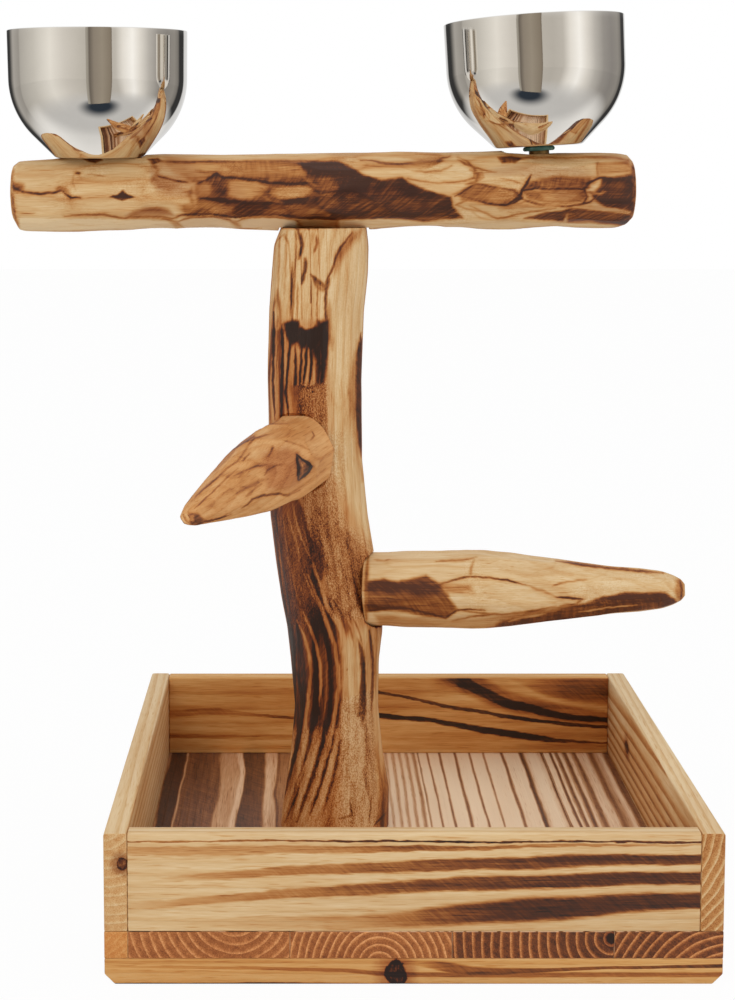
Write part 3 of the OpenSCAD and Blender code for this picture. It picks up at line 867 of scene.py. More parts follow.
    def rolled(self, points: np.ndarray, grain: np.ndarray, values: dict) -> bpy.types.Mesh:
        """The log's mesh, rolled up from a grid.

        Args:
            points: where the grid's points go.
            grain: each point's place along and across the grain.
            values: the layers that the mesh carries, by name.

        Returns:
            The mesh, closed where the grid's edges meet.
        """
        rows, columns = points.shape[0] - 1, points.shape[1] - 1
        bm = bmesh.new()
        bmesh.ops.create_grid(bm, x_segments=columns, y_segments=rows, size=1.0)
        mesh = plain_mesh(bm, self.name)
        flat = np.zeros(len(mesh.vertices) * 3)
        mesh.vertices.foreach_get("co", flat)
        i, j = (np.rint((flat[k::3] + 1) / 2 * count).astype(int)
                for k, count in enumerate((columns, rows)))
        mesh.vertices.foreach_set("co", points[j, i].reshape(-1))
        for key, value in values.items():
            layer = mesh.attributes.new(key, "FLOAT", "POINT")
            layer.data.foreach_set("value", np.ascontiguousarray(value[j, i], np.float32))
        layer = mesh.attributes.new("grain", "FLOAT_VECTOR", "POINT")
        layer.data.foreach_set("vector", np.ascontiguousarray(grain[j, i].reshape(-1), np.float32))
        bm = bmesh.new()
        bm.from_mesh(mesh)
        bmesh.ops.remove_doubles(bm, verts=bm.verts, dist=SAME_POINT)
        finished = bmesh_to_mesh(bm, self.name, 60.0)
        bpy.data.meshes.remove(mesh)
        return finished

    def build(self) -> bpy.types.Object:
        """Builds the log, paints it and dresses it."""
        points, grain, values = self.surface()
        points = self.fit(points)
        self.paint(points, values)
        mesh = self.rolled(points, grain, values)
        return new_object(self.name, mesh, self.finish.material(), [self.node])


def clamp_flat(points: np.ndarray, centre: Sequence[float], axis: Sequence[float], radius: float,
               slope: float = 0.0) -> np.ndarray:
    """Planes a round flat into a log.

    Args:
        points: the log's points.
        centre: the flat's middle.
        axis: its outward direction.
        radius: its radius.
        slope: how steeply the log rises round the flat, or 0 for a square step.

    Returns:
        The points, with those beyond the flat brought down onto it.
    """
    axis = np.array(axis) / np.linalg.norm(axis)
    away = points - np.array(centre)
    height = (away * axis).sum(axis=-1)
    aside = np.linalg.norm(away - height[..., None] * axis, axis=-1)
    reach = radius * (1.0 if slope == 0.0 else 2.0)
    level = np.maximum(aside - radius, 0.0) * slope
    cut = np.where((aside < reach) & (height > level), height - level, 0.0)
    return points - cut[..., None] * axis


def drill(points: np.ndarray, centre: Sequence[float], radius: float) -> np.ndarray:
    """Drills a well straight down to a centre, with a clean round rim."""
    away = points - np.array(centre)
    aside = np.hypot(away[..., 0], away[..., 1])
    snap = 0.5 * MM
    near = (aside < radius + snap) & (away[..., 2] > 0.0)
    target = np.where(aside > radius - snap, radius, aside * radius / (radius - snap) * 0.995)
    scale = np.where(near, target / np.maximum(aside, 1e-9), 1.0)
    deep = near & (aside < radius - snap)
    return np.stack([centre[0] + away[..., 0] * scale, centre[1] + away[..., 1] * scale,
                     np.where(deep, centre[2], points[..., 2])], axis=-1)


@dataclass
class Trunk(CarvedLog):
    """The trunk, with a flat for each branch."""

    flats: Sequence[tuple] = ()

    def fit(self, points: np.ndarray) -> np.ndarray:
        """Planes the branches' flats."""
        for centre, axis, radius in self.flats:
            points = clamp_flat(points, centre, axis, radius)
        return points


@dataclass
class TopPerch(CarvedLog):
    """The top perch, with its housing on the trunk, the cups' seats and the screws' wells."""

    seats: Sequence[tuple] = ()
    wells: Sequence[tuple] = ()
    housing: tuple[float, float, float] = (-0.01085, 0.0248, 0.3625)

    def fit(self, points: np.ndarray) -> np.ndarray:
        """Planes the seats, drills the wells and cuts the housing."""
        for seat in self.seats:
            points = clamp_flat(points, *seat)
        for centre, radius in self.wells:
            points = drill(points, centre, radius)
        middle, half, level = self.housing
        over = np.abs(points[..., 0] - middle) < half
        points[..., 2] = np.where(over, np.maximum(points[..., 2], level), points[..., 2])
        return points


@dataclass(frozen=True)
class Branch:
    """Where a branch leaves the trunk and how big it is, in millimetres and degrees."""

    root: tuple[float, float, float]
    turn: float
    rise: float
    length: float
    across: float
    seat: float = 22.0

    def directions(self) -> tuple[Vector, Vector, Vector]:
        """The branch's down, back and outward directions."""
        t, r = math.radians(self.turn), math.radians(self.rise)
        return (Vector((math.sin(r) * math.cos(t), math.sin(r) * math.sin(t), -math.cos(r))),
                Vector((-math.sin(t), math.cos(t), 0.0)),
                Vector((math.cos(r) * math.cos(t), math.cos(r) * math.sin(t), math.sin(r))))

    def start(self) -> Vector:
        """The middle of the flat that the branch stands on, in metres."""
        return Vector(self.root) * MM + self.directions()[2] * (self.seat * MM)

    def flat(self) -> tuple[Vector, tuple[float, ...], float]:
        """The flat on the trunk: its middle, its outward direction and its radius."""
        return self.start(), tuple(self.directions()[2]), (self.across / 2 + 0.4) * MM

    def log(self, name: str, table: Sequence[tuple[float, float]], finish: LogFinish,
            **more: object) -> CarvedLog:
        """The branch as a log.

        Args:
            name: the branch's CAD node.
            table: shares of the length, each with its share of the width.
            finish: the log's finish.
            more: the log's other fields.

        Returns:
            The log, on its seat.
        """
        across = self.across * MM
        rings = [(s, 0.0, 0.0, d * across / 2, d * across / 2) for s, d in table]
        return CarvedLog(f"hewn_{name}", name, "branch_wood", self.start(), *self.directions(),
                         self.length * MM, rings, finish=finish, around=150, patchy=0.4, halo=0.35,
                         **more)


@dataclass(frozen=True)
class Knot:
    """A knot in a board: its middle, its half sizes, and how dark it is."""

    centre: tuple[float, float, float]
    size: tuple[float, float, float]
    burn: float = 0.8
    stain: str = "#A65C34"


class Grain(Enum):
    """Which way a board's grain runs."""

    SIDEWAYS = "left to right"
    BACKWARD = "front to back"


@dataclass(frozen=True)
class BoardFinish:
    """The finish of one board.

    The pith is where the board's growth rings are centred, in the two directions across the
    grain, and bands and stripes are burnt lines given one by one, in millimetres: a band is
    (along, height, half width, burn) at each stop, a stripe (across, burn).
    """

    name: str
    tone: Tone
    grain: Grain
    pith: tuple[float, float]
    pitch: float = 0.0045
    tilt: tuple[float, float] = (0.0, 0.0)
    wander: float = 0.0022
    base: float = 0.12
    rings: float = 0.25
    end_base: float = 0.2
    end_rings: float = 0.45
    end_tint: str = "#FFFFFF"
    patchy: float = 0.2
    top: float = 0.04
    streak: float = 0.14
    bands: Sequence[Sequence[tuple]] = ()
    band_box: tuple[float, float, float, float] = (-107.0, 170.0, 26.5, 75.5)
    stripes: Sequence[tuple[float, float]] = ()
    stripe_box: tuple[float, float] = (0.0, 1.0)
    stripe_sway: float = 0.0014
    floor_lift: float = -0.04
    floor_gain: float = 1.0
    knots: Sequence[Knot] = ()
    shade: str = "#DDC8B4"
    relief: float = 0.00035

    def band_burn(self, sheet: Sheet, place: Value) -> Socket:
        """The burn of the bands along the board's face."""
        x, _, z = sheet.parts(place)
        left, right, low, high = (v * MM for v in self.band_box)
        along = sheet.add("MapRange", {0: x, 1: left, 2: right}).outputs[0]
        level = sheet.math("DIVIDE", sheet.math("SUBTRACT", z, low), high - low)
        sway = sheet.noise(place, (16, 16, 40), detail=3.0, roughness=0.6)
        fray = sheet.noise(place, (130, 130, 900))
        level = sheet.total(level, sheet.swing(sway, 0.035), sheet.swing(fray, 0.018))
        burns = []
        for stops in self.bands:
            ramp = [((x0 * MM - left) / (right - left),
                     ((z0 * MM - low) / (high - low), half * MM / (high - low) / BAND_SCALE, burn))
                    for x0, z0, half, burn in stops]
            given = {"Height": level, "Line": sheet.ramp(along, ramp, "CARDINAL"), "Softness": 0.34}
            burns.append(sheet.effect("flame_line", given).outputs[0])
        return sheet.most(burns)

    def stripe_burn(self, sheet: Sheet, place: Value) -> Socket:
        """The burn of the stripes across the board's top."""
        x, _, _ = sheet.parts(place)
        left, right = (v * MM for v in self.stripe_box)
        sway = sheet.noise(place, (40, 13, 5))
        fray = sheet.noise(place, (900, 60, 60))
        x = sheet.total(x, sheet.swing(sway, self.stripe_sway), sheet.swing(fray, 0.0003))
        across = sheet.add("MapRange", {0: x, 1: left, 2: right}).outputs[0]
        stops = [((x0 * MM - left) / (right - left), burn) for x0, burn in self.stripes]
        return sheet.ramp(across, stops, "EASE")

    def turned(self, sheet: Sheet, place: Value) -> Socket:
        """The place, turned so that the grain runs along X, and centred on the pith."""
        a, b = (v * MM for v in self.pith)
        if self.grain is Grain.SIDEWAYS:
            turn, shift = (0.0, *self.tilt), (0.0, -a, -b)
        else:
            turn, shift = (0.0, self.tilt[0], self.tilt[1] - math.pi / 2), (0.0, a, -b)
        turned = sheet.add("Mapping", {"Vector": place, "Rotation": turn}).outputs[0]
        return sheet.vector_math("ADD", turned, shift)

    def scorched(self, sheet: Sheet, place: Value, grain: Value, rings: Value, top: Value,
                 end: Value) -> Socket:
        """How burnt the board is, its knots left out.

        Args:
            sheet: the material's node sheet.
            place: where a point is.
            grain: the same place along and across the grain.
            rings: the growth rings there.
            top: how far the board faces up there.
            end: how far it faces along the grain.

        Returns:
            The burn, from 0 for bare wood to 1 for char.
        """
        patches = sheet.noise(grain, (7, 30, 30), detail=3.0)
        mottled = self.patchy * 0.4 if self.bands else self.patchy
        side = sheet.total(self.base, sheet.swing(patches, mottled), sheet.times(rings, self.rings))
        if self.bands:
            side = sheet.total(side, self.band_burn(sheet, place))
        if self.stripes:
            laid = sheet.total(sheet.times(self.stripe_burn(sheet, place), self.floor_gain),
                               sheet.swing(patches, self.patchy * 0.7), self.floor_lift)
        else:
            laid = sheet.total(self.top, sheet.times(rings, 0.14), sheet.swing(patches, 0.06))
        specks = sheet.effect("specks", {"Vector": grain}).outputs[0]
        late = sheet.times(sheet.math("POWER", rings, 2.2), self.end_rings)
        across = sheet.total(self.end_base, late, sheet.swing(patches, 0.1), sheet.swing(specks, 0.07))
        return sheet.choose(end, sheet.choose(top, side, laid), across)

    def material(self) -> bpy.types.Material:
        """The board's material."""
        material, sheet = new_material(self.name)
        place = sheet.place()
        nx, ny, nz = sheet.parts(sheet.add("TexCoord").outputs["Normal"])
        facing = nx if self.grain is Grain.SIDEWAYS else ny
        grain = self.turned(sheet, place)
        end = sheet.fade(sheet.math("ABSOLUTE", facing), 0.55, 0.8)
        top = sheet.fade(nz, 0.45, 0.85)
        fibres = sheet.effect("fibres", {"Vector": grain}).outputs
        rings = sheet.effect("growth_rings", {"Vector": grain, "Pitch": self.pitch,
                                              "Wander": self.wander}).outputs["Late"]
        burn = self.scorched(sheet, place, grain, rings, top, end)
        halos = []
        for knot in self.knots:
            outputs = sheet.effect("knot", {"Vector": place, "Centre": tuple(v * MM for v in knot.centre),
                                            "Size": tuple(v * MM for v in knot.size)}).outputs
            halos.append(outputs["Halo"])
            burn = sheet.total(burn, sheet.times(outputs["Heart"], knot.burn),
                               sheet.times(outputs["Halo"], 0.12))
        amount = sheet.total(burn, sheet.swing(fibres["Streak"], self.streak),
                             sheet.swing(fibres["Fine"], 0.12),
                             sheet.times(fibres["Pores"], sheet.fade(end, 0.3, 0.6, 0.16, 0.0)),
                             sheet.times(sheet.swing(fibres["Hatch"], 0.16), sheet.fade(burn, 0.3, 0.7)))
        color = sheet.ramp(amount, self.tone.value)
        color = sheet.mix(end, color, srgb(self.end_tint), "MULTIPLY")
        if halos:
            stain = sheet.times(sheet.most(halos), 0.5)
            color = sheet.mix(stain, color, srgb(self.knots[0].stain), "MULTIPLY")
        shade = sheet.noise(grain, (9, 40, 40), detail=1.0)
        shaded = sheet.fade(shade, 0.3, 0.7, 0.0, 0.2)
        color = sheet.mix(shaded, color, srgb(self.shade), "MULTIPLY")
        charred = sheet.total(burn, sheet.swing(fibres["Streak"], 0.25))
        roughness = sheet.fade(charred, 0.0, 1.0, 0.62, 0.48)
        height = sheet.total(sheet.times(fibres["Streak"], 0.45), sheet.times(fibres["Fine"], 0.25),
                             sheet.times(rings, 0.3))
        sheet.surface(color, roughness, height, self.relief, Specular_IOR_Level=PINE_SHINE)
        return material


@dataclass
class Board:
    """One planed board of the tray, with its arrises eased."""

    name: str
    node: str
    finish: BoardFinish
    ease: float = 0.7 * MM
    top_ease: float = 1.4 * MM
    chamfer: float = 0.0
    inset: float = 0.07 * MM

    def build(self) -> bpy.types.Object:
        """Builds the board from a cube in its node's box, and dresses it."""
        low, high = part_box(self.node)
        low, high = low + Vector((self.inset,) * 3), high - Vector((self.inset,) * 3)
        size, middle = high - low, (low + high) / 2
        bm = bmesh.new()
        bmesh.ops.create_cube(bm, size=1.0)
        bmesh.ops.scale(bm, vec=size, verts=bm.verts)
        bmesh.ops.translate(bm, vec=middle, verts=bm.verts)
        if self.chamfer:
            corners = [e for e in bm.edges if all(v.co.z < middle.z for v in e.verts)
                       and abs(e.verts[0].co.x - e.verts[1].co.x) < 1e-6]
            self.bevel(bm, corners, self.chamfer, 1)
        long_way = 0 if size.x > size.y else 1
        tops = [e for e in bm.edges if all(v.co.z > middle.z for v in e.verts)
                and abs(e.verts[0].co[long_way] - e.verts[1].co[long_way]) > 1e-3]
        if self.top_ease > self.ease:
            self.bevel(bm, tops, self.top_ease, 5)
        crisp = [e for e in bm.edges if len(e.link_faces) == 2 and e.calc_face_angle(0.0) > 0.6]
        self.bevel(bm, crisp, self.ease, 3)
        mesh = bmesh_to_mesh(bm, self.name, 40.0)
        return new_object(self.name, mesh, self.finish.material(), [self.node])

    @staticmethod
    def bevel(bm: bmesh.types.BMesh, edges: list, offset: float, segments: int) -> None:
        """Eases edges by an offset."""
        bmesh.ops.bevel(bm, geom=edges, offset=offset, offset_type="OFFSET", segments=segments,
                        profile=0.5, affect="EDGES", clamp_overlap=True, material=-1)


@dataclass(frozen=True)
class SteelFinish:
    """A steel finish: its colour, its roughness, and how strongly it is brushed."""

    name: str
    color: str
    roughness: float
    brushed: float
    metallic: float = 1.0

    def material(self) -> bpy.types.Material:
        """The finish's material."""
        material, sheet = new_material(self.name)
        place = sheet.place()
        smudge = sheet.noise(place, (28, 28, 40), detail=4.0, roughness=0.62)
        lines = sheet.noise(place, (160, 160, 2400))
        color = sheet.mix(sheet.fade(smudge, 0.35, 0.7, 0.0, 0.5), srgb(self.color),
                          sheet.mix(0.12, srgb(self.color), srgb("#8C8078")))
        roughness = sheet.total(self.roughness, sheet.swing(smudge, self.roughness * 0.5),
                                sheet.swing(lines, self.brushed * 0.5))
        height = sheet.total(sheet.times(lines, self.brushed), sheet.times(smudge, 0.25 * self.brushed))
        sheet.surface(color, roughness, height, 0.0001, Metallic=self.metallic)
        return material


@dataclass(frozen=True)
class SealFinish:
    """The soft green washer, dull with a paler bloom."""

    name: str = "green_washer"
    color: str = "#3F6B60"
    bloom: str = "#8FB3A6"

    def material(self) -> bpy.types.Material:
        """The finish's material."""
        material, sheet = new_material(self.name)
        place = sheet.place()
        bloom = sheet.noise(place, (300, 300, 300), detail=4.0, roughness=0.65)
        grit = sheet.noise(place, (2200, 2200, 2200))
        color = sheet.mix(sheet.fade(bloom, 0.42, 0.7, 0.0, 0.75), srgb(self.color), srgb(self.bloom))
        roughness = sheet.fade(bloom, 0.3, 0.7, 0.42, 0.7)
        sheet.surface(color, roughness, sheet.total(bloom, sheet.times(grit, 0.4)), 0.0002)
        return material


class Side(Enum):
    """Which end of the perch a cup stands at."""

    LEFT = "left"
    RIGHT = "right"


@dataclass
class CupStation:
    """One cup with what fastens it: bowl, washer, screw, soft washer and insert."""

    side: Side
    seat: tuple[float, float, float]
    axis: tuple[float, float, float]
    base: float
    seal_base: float
    seed: int
    mirror: bpy.types.Material
    steel: bpy.types.Material
    rubber: bpy.types.Material
    brass: bpy.types.Material
    rim_r: float = 48.45 * MM
    height: float = 68 * MM
    base_r: float = 23.5 * MM
    base_bend: float = 1.6 * MM
    wall: float = 0.8 * MM
    curve_r: float = 44 * MM
    slope: float = 45.0
    draft: float = 0.3 * MM
    hole_r: float = 3.2 * MM
    seal_r: float = 8.75 * MM
    seal_t: float = 2.4 * MM
    lumps: float = 2.5
    swell: float = 0.02

    def stand_up(self, bm: bmesh.types.BMesh, lift: float) -> None:
        """Sets a piece that was made on +Z onto the station's own axis."""
        turn = Vector((0, 0, 1)).rotation_difference(Vector(self.axis)).to_matrix().to_4x4()
        bmesh.ops.translate(bm, vec=(0, 0, lift), verts=bm.verts)
        bmesh.ops.transform(bm, matrix=Matrix.Translation(Vector(self.seat)) @ turn, verts=bm.verts)

    @staticmethod
    def turned(profile: list, steps: int) -> bmesh.types.BMesh:
        """Spins a closed profile of (radius, height) round +Z."""
        bm = bmesh.new()
        verts = [bm.verts.new((r, 0.0, z)) for r, z in profile]
        edges = [bm.edges.new(pair) for pair in zip(verts, verts[1:] + verts[:1])]
        bmesh.ops.spin(bm, geom=verts + edges, cent=(0, 0, 0), axis=(0, 0, 1), dvec=(0, 0, 0),
                       angle=2 * math.pi, steps=steps, use_merge=True, use_duplicate=False)
        bmesh.ops.remove_doubles(bm, verts=bm.verts, dist=1e-7)
        return bm

    def side_line(self, inset: float) -> list[tuple[float, float]]:
        """The bowl's side at an inset from its outer face: base, slope, curve and upright."""
        bend = math.radians(90.0 - self.slope)
        tilt = math.radians(self.slope)
        belly = self.rim_r - self.draft
        middle_r = belly - self.curve_r
        end_r = middle_r + self.curve_r * math.cos(bend)
        middle_z = (end_r - self.base_r) * math.tan(tilt) + self.curve_r * math.sin(bend)
        radius = self.curve_r - inset
        base = self.base_r - inset * math.tan(tilt / 2) - self.base_bend
        turn_r = self.base_bend / math.tan(tilt / 2)
        found = [(base, inset)]
        for a in (tilt * k / 6 for k in range(1, 6)):
            found.append((base + turn_r * math.sin(a), inset + turn_r * (1 - math.cos(a))))
        steps = 26
        for a in (bend * (1 - k / steps) for k in range(steps + 1)):
            found.append((middle_r + radius * math.cos(a), middle_z - radius * math.sin(a)))
        last_r, last_z = found[-1]
        rise_r, rise_z = self.rim_r - inset - last_r, self.height - self.wall / 2 - last_z
        return found + [(last_r + rise_r * k / 8, last_z + rise_z * k / 8) for k in range(1, 9)]

    def bowl(self) -> bpy.types.Object:
        """The bowl, with a rounded rim."""
        outer, inner = self.side_line(0.0), self.side_line(self.wall)
        half = self.wall / 2
        rim = [(self.rim_r - half + half * math.cos(a), self.height - half + half * math.sin(a))
               for a in (math.pi * k / 8 for k in range(1, 8))]
        flat = self.base_r - 3 * MM - self.hole_r
        floor_out = [(self.hole_r + flat * k / 6, 0.0) for k in range(7)]
        floor_in = [(r, self.wall) for r, _ in reversed(floor_out)]
        bm = self.turned(floor_out + outer + rim + inner[::-1] + floor_in, 160)
        self.stand_up(bm, self.base)
        side = self.side.value
        mesh = bmesh_to_mesh(bm, f"{side}_bowl", 50.0)
        return new_object(mesh.name, mesh, self.mirror, [f"{side}_cup"], f"{side}_cup_body")

    def soft_washer(self) -> bpy.types.Object:
        """The soft washer, bulging a little, with the lumps that its moulding left."""
        side, r, half = self.side.value, self.seal_r, self.seal_t / 2
        outer = [(r - half + half * math.cos(a), half + half * math.sin(a))
                 for a in (math.pi * (k / 10 - 0.5) for k in range(11))]
        bm = self.turned([(self.hole_r, 0.0)] + outer + [(self.hole_r, self.seal_t)], 72)
        noise = SolidNoise(self.seed)
        for vert in bm.verts:
            if math.hypot(vert.co.x, vert.co.y) > self.hole_r + 1 * MM:
                bulge = self.swell * float(noise.at(np.array(vert.co) * 1000 / self.lumps))
                vert.co.x *= 1.0 + bulge - self.swell
                vert.co.y *= 1.0 + bulge - self.swell
        self.stand_up(bm, self.seal_base)
        mesh = bmesh_to_mesh(bm, f"{side}_soft_washer", 50.0)
        return new_object(mesh.name, mesh, self.rubber, [f"{side}_seal"],
                          f"{side}_washer_body")

    def build(self) -> None:
        """Builds the station's pieces and dresses the CAD ones that stay."""
        self.bowl()
        self.soft_washer()
        for node, material in (("cup_washer", self.steel), ("cup_screw", self.steel),
                               ("insert", self.brass)):
            dress(f"{self.side.value}_{node}", material)


def dress(node: str, material: bpy.types.Material) -> None:
    """Gives a CAD node that stays a better material."""
    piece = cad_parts[node]
    piece.data.materials.clear()
    piece.data.materials.append(material)
    log.info("%s: CAD node, dressed in %s", node, material.name)


@dataclass
class Studio:
    """A pale floor, soft light from above and the front, and the view."""

    floor_color: str = "#F2F1EF"
    world_level: float = 0.72
    key_power: float = 9.0
    fill_power: float = 3.5
    floor_glow: float = 0.96
    # Painted reflection: the floor's colours as only the cups' mirror sees them, grey near the stand and
    # paler further off.
    near_grey: tuple[float, ...] = (0.57, 0.562, 0.55, 1.0)
    far_grey: tuple[float, ...] = (0.86, 0.85, 0.83, 1.0)
    floor_dim: tuple[float, ...] = (0.94, 0.94, 0.94, 1.0)
    overhead: tuple[float, ...] = (0.86, 0.86, 0.86, 1.0)
    # A dark patch painted on the floor in front of the stand, seen only in the cups' mirror.
    foot_shade: str = "#2F363F"
    card_left: float = -0.21
    card_right: float = 0.12
    card_top: float = 1.6
    card_front: float = -0.57

    def build(self) -> None:
        """Sets up the floor, the world, the lights and the camera."""
        self.floor()
        self.dark_card()
        self.world()
        self.light("key", (-0.9, -1.6, 1.7), (0.0, 0.0, 0.25), 1.4, self.key_power)
        self.light("fill", (1.5, -1.2, 0.9), (0.0, 0.0, 0.2), 1.2, self.fill_power)
        SIGHT.camera()
        bpy.context.scene.view_settings.view_transform = "Standard"

    def floor(self) -> None:
        """The floor that the stand is on: white to the camera, and for the cups' mirror a glow of painted
        reflection colours.
        """
        bm = bmesh.new()
        bmesh.ops.create_grid(bm, x_segments=1, y_segments=1, size=6.0)
        mesh = plain_mesh(bm, "studio_floor")
        material, sheet = new_material("studio_floor")
        seen, mirrored = sheet.rays()
        diffuse = sheet.add("BsdfDiffuse", {"Color": srgb(self.floor_color)}).outputs[0]
        mixed = sheet.between(sheet.times(seen, self.floor_glow), diffuse, sheet.glow(WHITE))
        # For mirror rays the floor glows with a painted reflection: grey near the stand, the room's cards
        # further off, and a dark patch in front of the stand.
        x, y, _ = sheet.parts(sheet.add("NewGeometry").outputs["Position"])
        far = sheet.math("SQRT", sheet.total(sheet.times(x, x), sheet.times(y, y)))
        under = sheet.mix(sheet.fade(y, -0.16, 0.12), self.near_grey, self.far_grey)
        room = self.cards(sheet, self.around(sheet, x, y))
        cards = sheet.mix(1.0, room, self.floor_dim, "MULTIPLY")
        cards = sheet.mix(sheet.fade(far, 0.45, 1.3), under, cards)
        foot = sheet.joined(sheet.times(sheet.math("ADD", x, 0.045), 0.42),
                            sheet.times(sheet.math("ADD", y, 0.5), 0.56), 0.0)
        cards = sheet.mix(sheet.fade(sheet.length(foot), 0.15, 0.05), cards, srgb(self.foot_shade))
        sheet.add("OutputMaterial", {0: sheet.between(mirrored, mixed, sheet.glow(cards))})
        mesh.materials.append(material)
        floor = linked("studio_floor", mesh)

    def dark_card(self) -> None:
        """A tall dark card in front of the stand, which only the cups' mirror shows."""
        bm = bmesh.new()
        left, right, top = self.card_left, self.card_right, self.card_top
        bm.faces.new([bm.verts.new((x, self.card_front, z))
                      for x, z in ((left, 0.0), (right, 0.0), (right, top), (left, top))])
        mesh = plain_mesh(bm, "dark_card")
        material, sheet = new_material("dark_card")
        x, _, _ = sheet.parts(sheet.place())
        across = sheet.add("MapRange", {0: x, 1: left, 2: right}).outputs[0]
        color = sheet.ramp(across, (
            (0.0, "#A8A298"), (0.07, "#A29C91"), (0.13, "#6E665D"), (0.3, "#93897C"),
            (0.6, "#9E9485"), (0.94, "#8C8172"), (1.0, "#7A7064")))
        clear = sheet.add("BsdfTransparent").outputs[0]
        _, mirrored = sheet.rays()
        sheet.add("OutputMaterial", {0: sheet.between(mirrored, clear, sheet.glow(color))})
        mesh.materials.append(material)
        card = linked("dark_card", mesh)

    @staticmethod
    def around(sheet: Sheet, x: Value, y: Value) -> Socket:
        """How far round the room a direction is: 0.5 toward the camera, more toward the right."""
        turn = sheet.math("ARCTAN2", x, sheet.times(y, -1.0))
        return sheet.math("MULTIPLY_ADD", turn, 0.5 / math.pi, 0.5)

    @staticmethod
    def cards(sheet: Sheet, around: Value) -> Socket:
        """The grey cards that stand round the room, as the cups mirror them."""
        return sheet.ramp(around, (
            (0.000, 0.80), (0.050, 0.60), (0.060, 0.04), (0.100, 0.04), (0.112, "#5C5A57"),
            (0.142, "#AFABA5"),
            (0.188, "#A09C96"), (0.196, "#B5B1AA"), (0.271, "#CECAC2"), (0.345, "#F0ECE4"),
            (0.400, "#DAD5CD"), (0.470, "#C6C1B8"), (0.543, "#BFBAB2"), (0.580, "#C7C2BA"),
            (0.606, "#EFEBE4"), (0.642, (1.06, 1.04, 1.0)),
            (0.670, "#ECE8E1"), (0.708, "#C1BDB7"), (0.750, "#9D9994"), (0.795, "#8F8B87"),
            (0.840, "#96928C"),
            (0.866, "#807C77"), (0.878, 0.04), (0.917, 0.04), (0.925, 0.70), (1.000, 0.80)))

    def world(self) -> None:
        """A white room for the camera, and one with grey cards for the mirror of the cups."""
        world = bpy.data.worlds.new("studio")
        bpy.context.scene.world = world
        world.use_nodes = True
        world.node_tree.nodes.clear()
        sheet = Sheet(world.node_tree)
        x, y, z = sheet.parts(sheet.add("TexCoord").outputs["Generated"])
        cards = self.cards(sheet, self.around(sheet, x, y))
        cards = sheet.mix(sheet.fade(z, 0.05, 0.75), cards, self.overhead)
        seen, mirrored = sheet.rays()
        room = sheet.between(mirrored, sheet.backdrop(WHITE, self.world_level), sheet.backdrop(cards))
        sheet.add("OutputWorld", {0: sheet.between(seen, room, sheet.backdrop(WHITE))})

    @staticmethod
    def light(name: str, place: Sequence[float], aim: Sequence[float], size: float, power: float) -> None:
        """A soft square lamp."""
        data = bpy.data.lights.new(name, "AREA")
        data.shape, data.size, data.energy = "SQUARE", size, power
        lamp = linked(name, data)
        lamp.location = place
        lamp.visible_glossy = False
        lamp.rotation_euler = (Vector(aim) - Vector(place)).to_track_quat("-Z", "Y").to_euler()


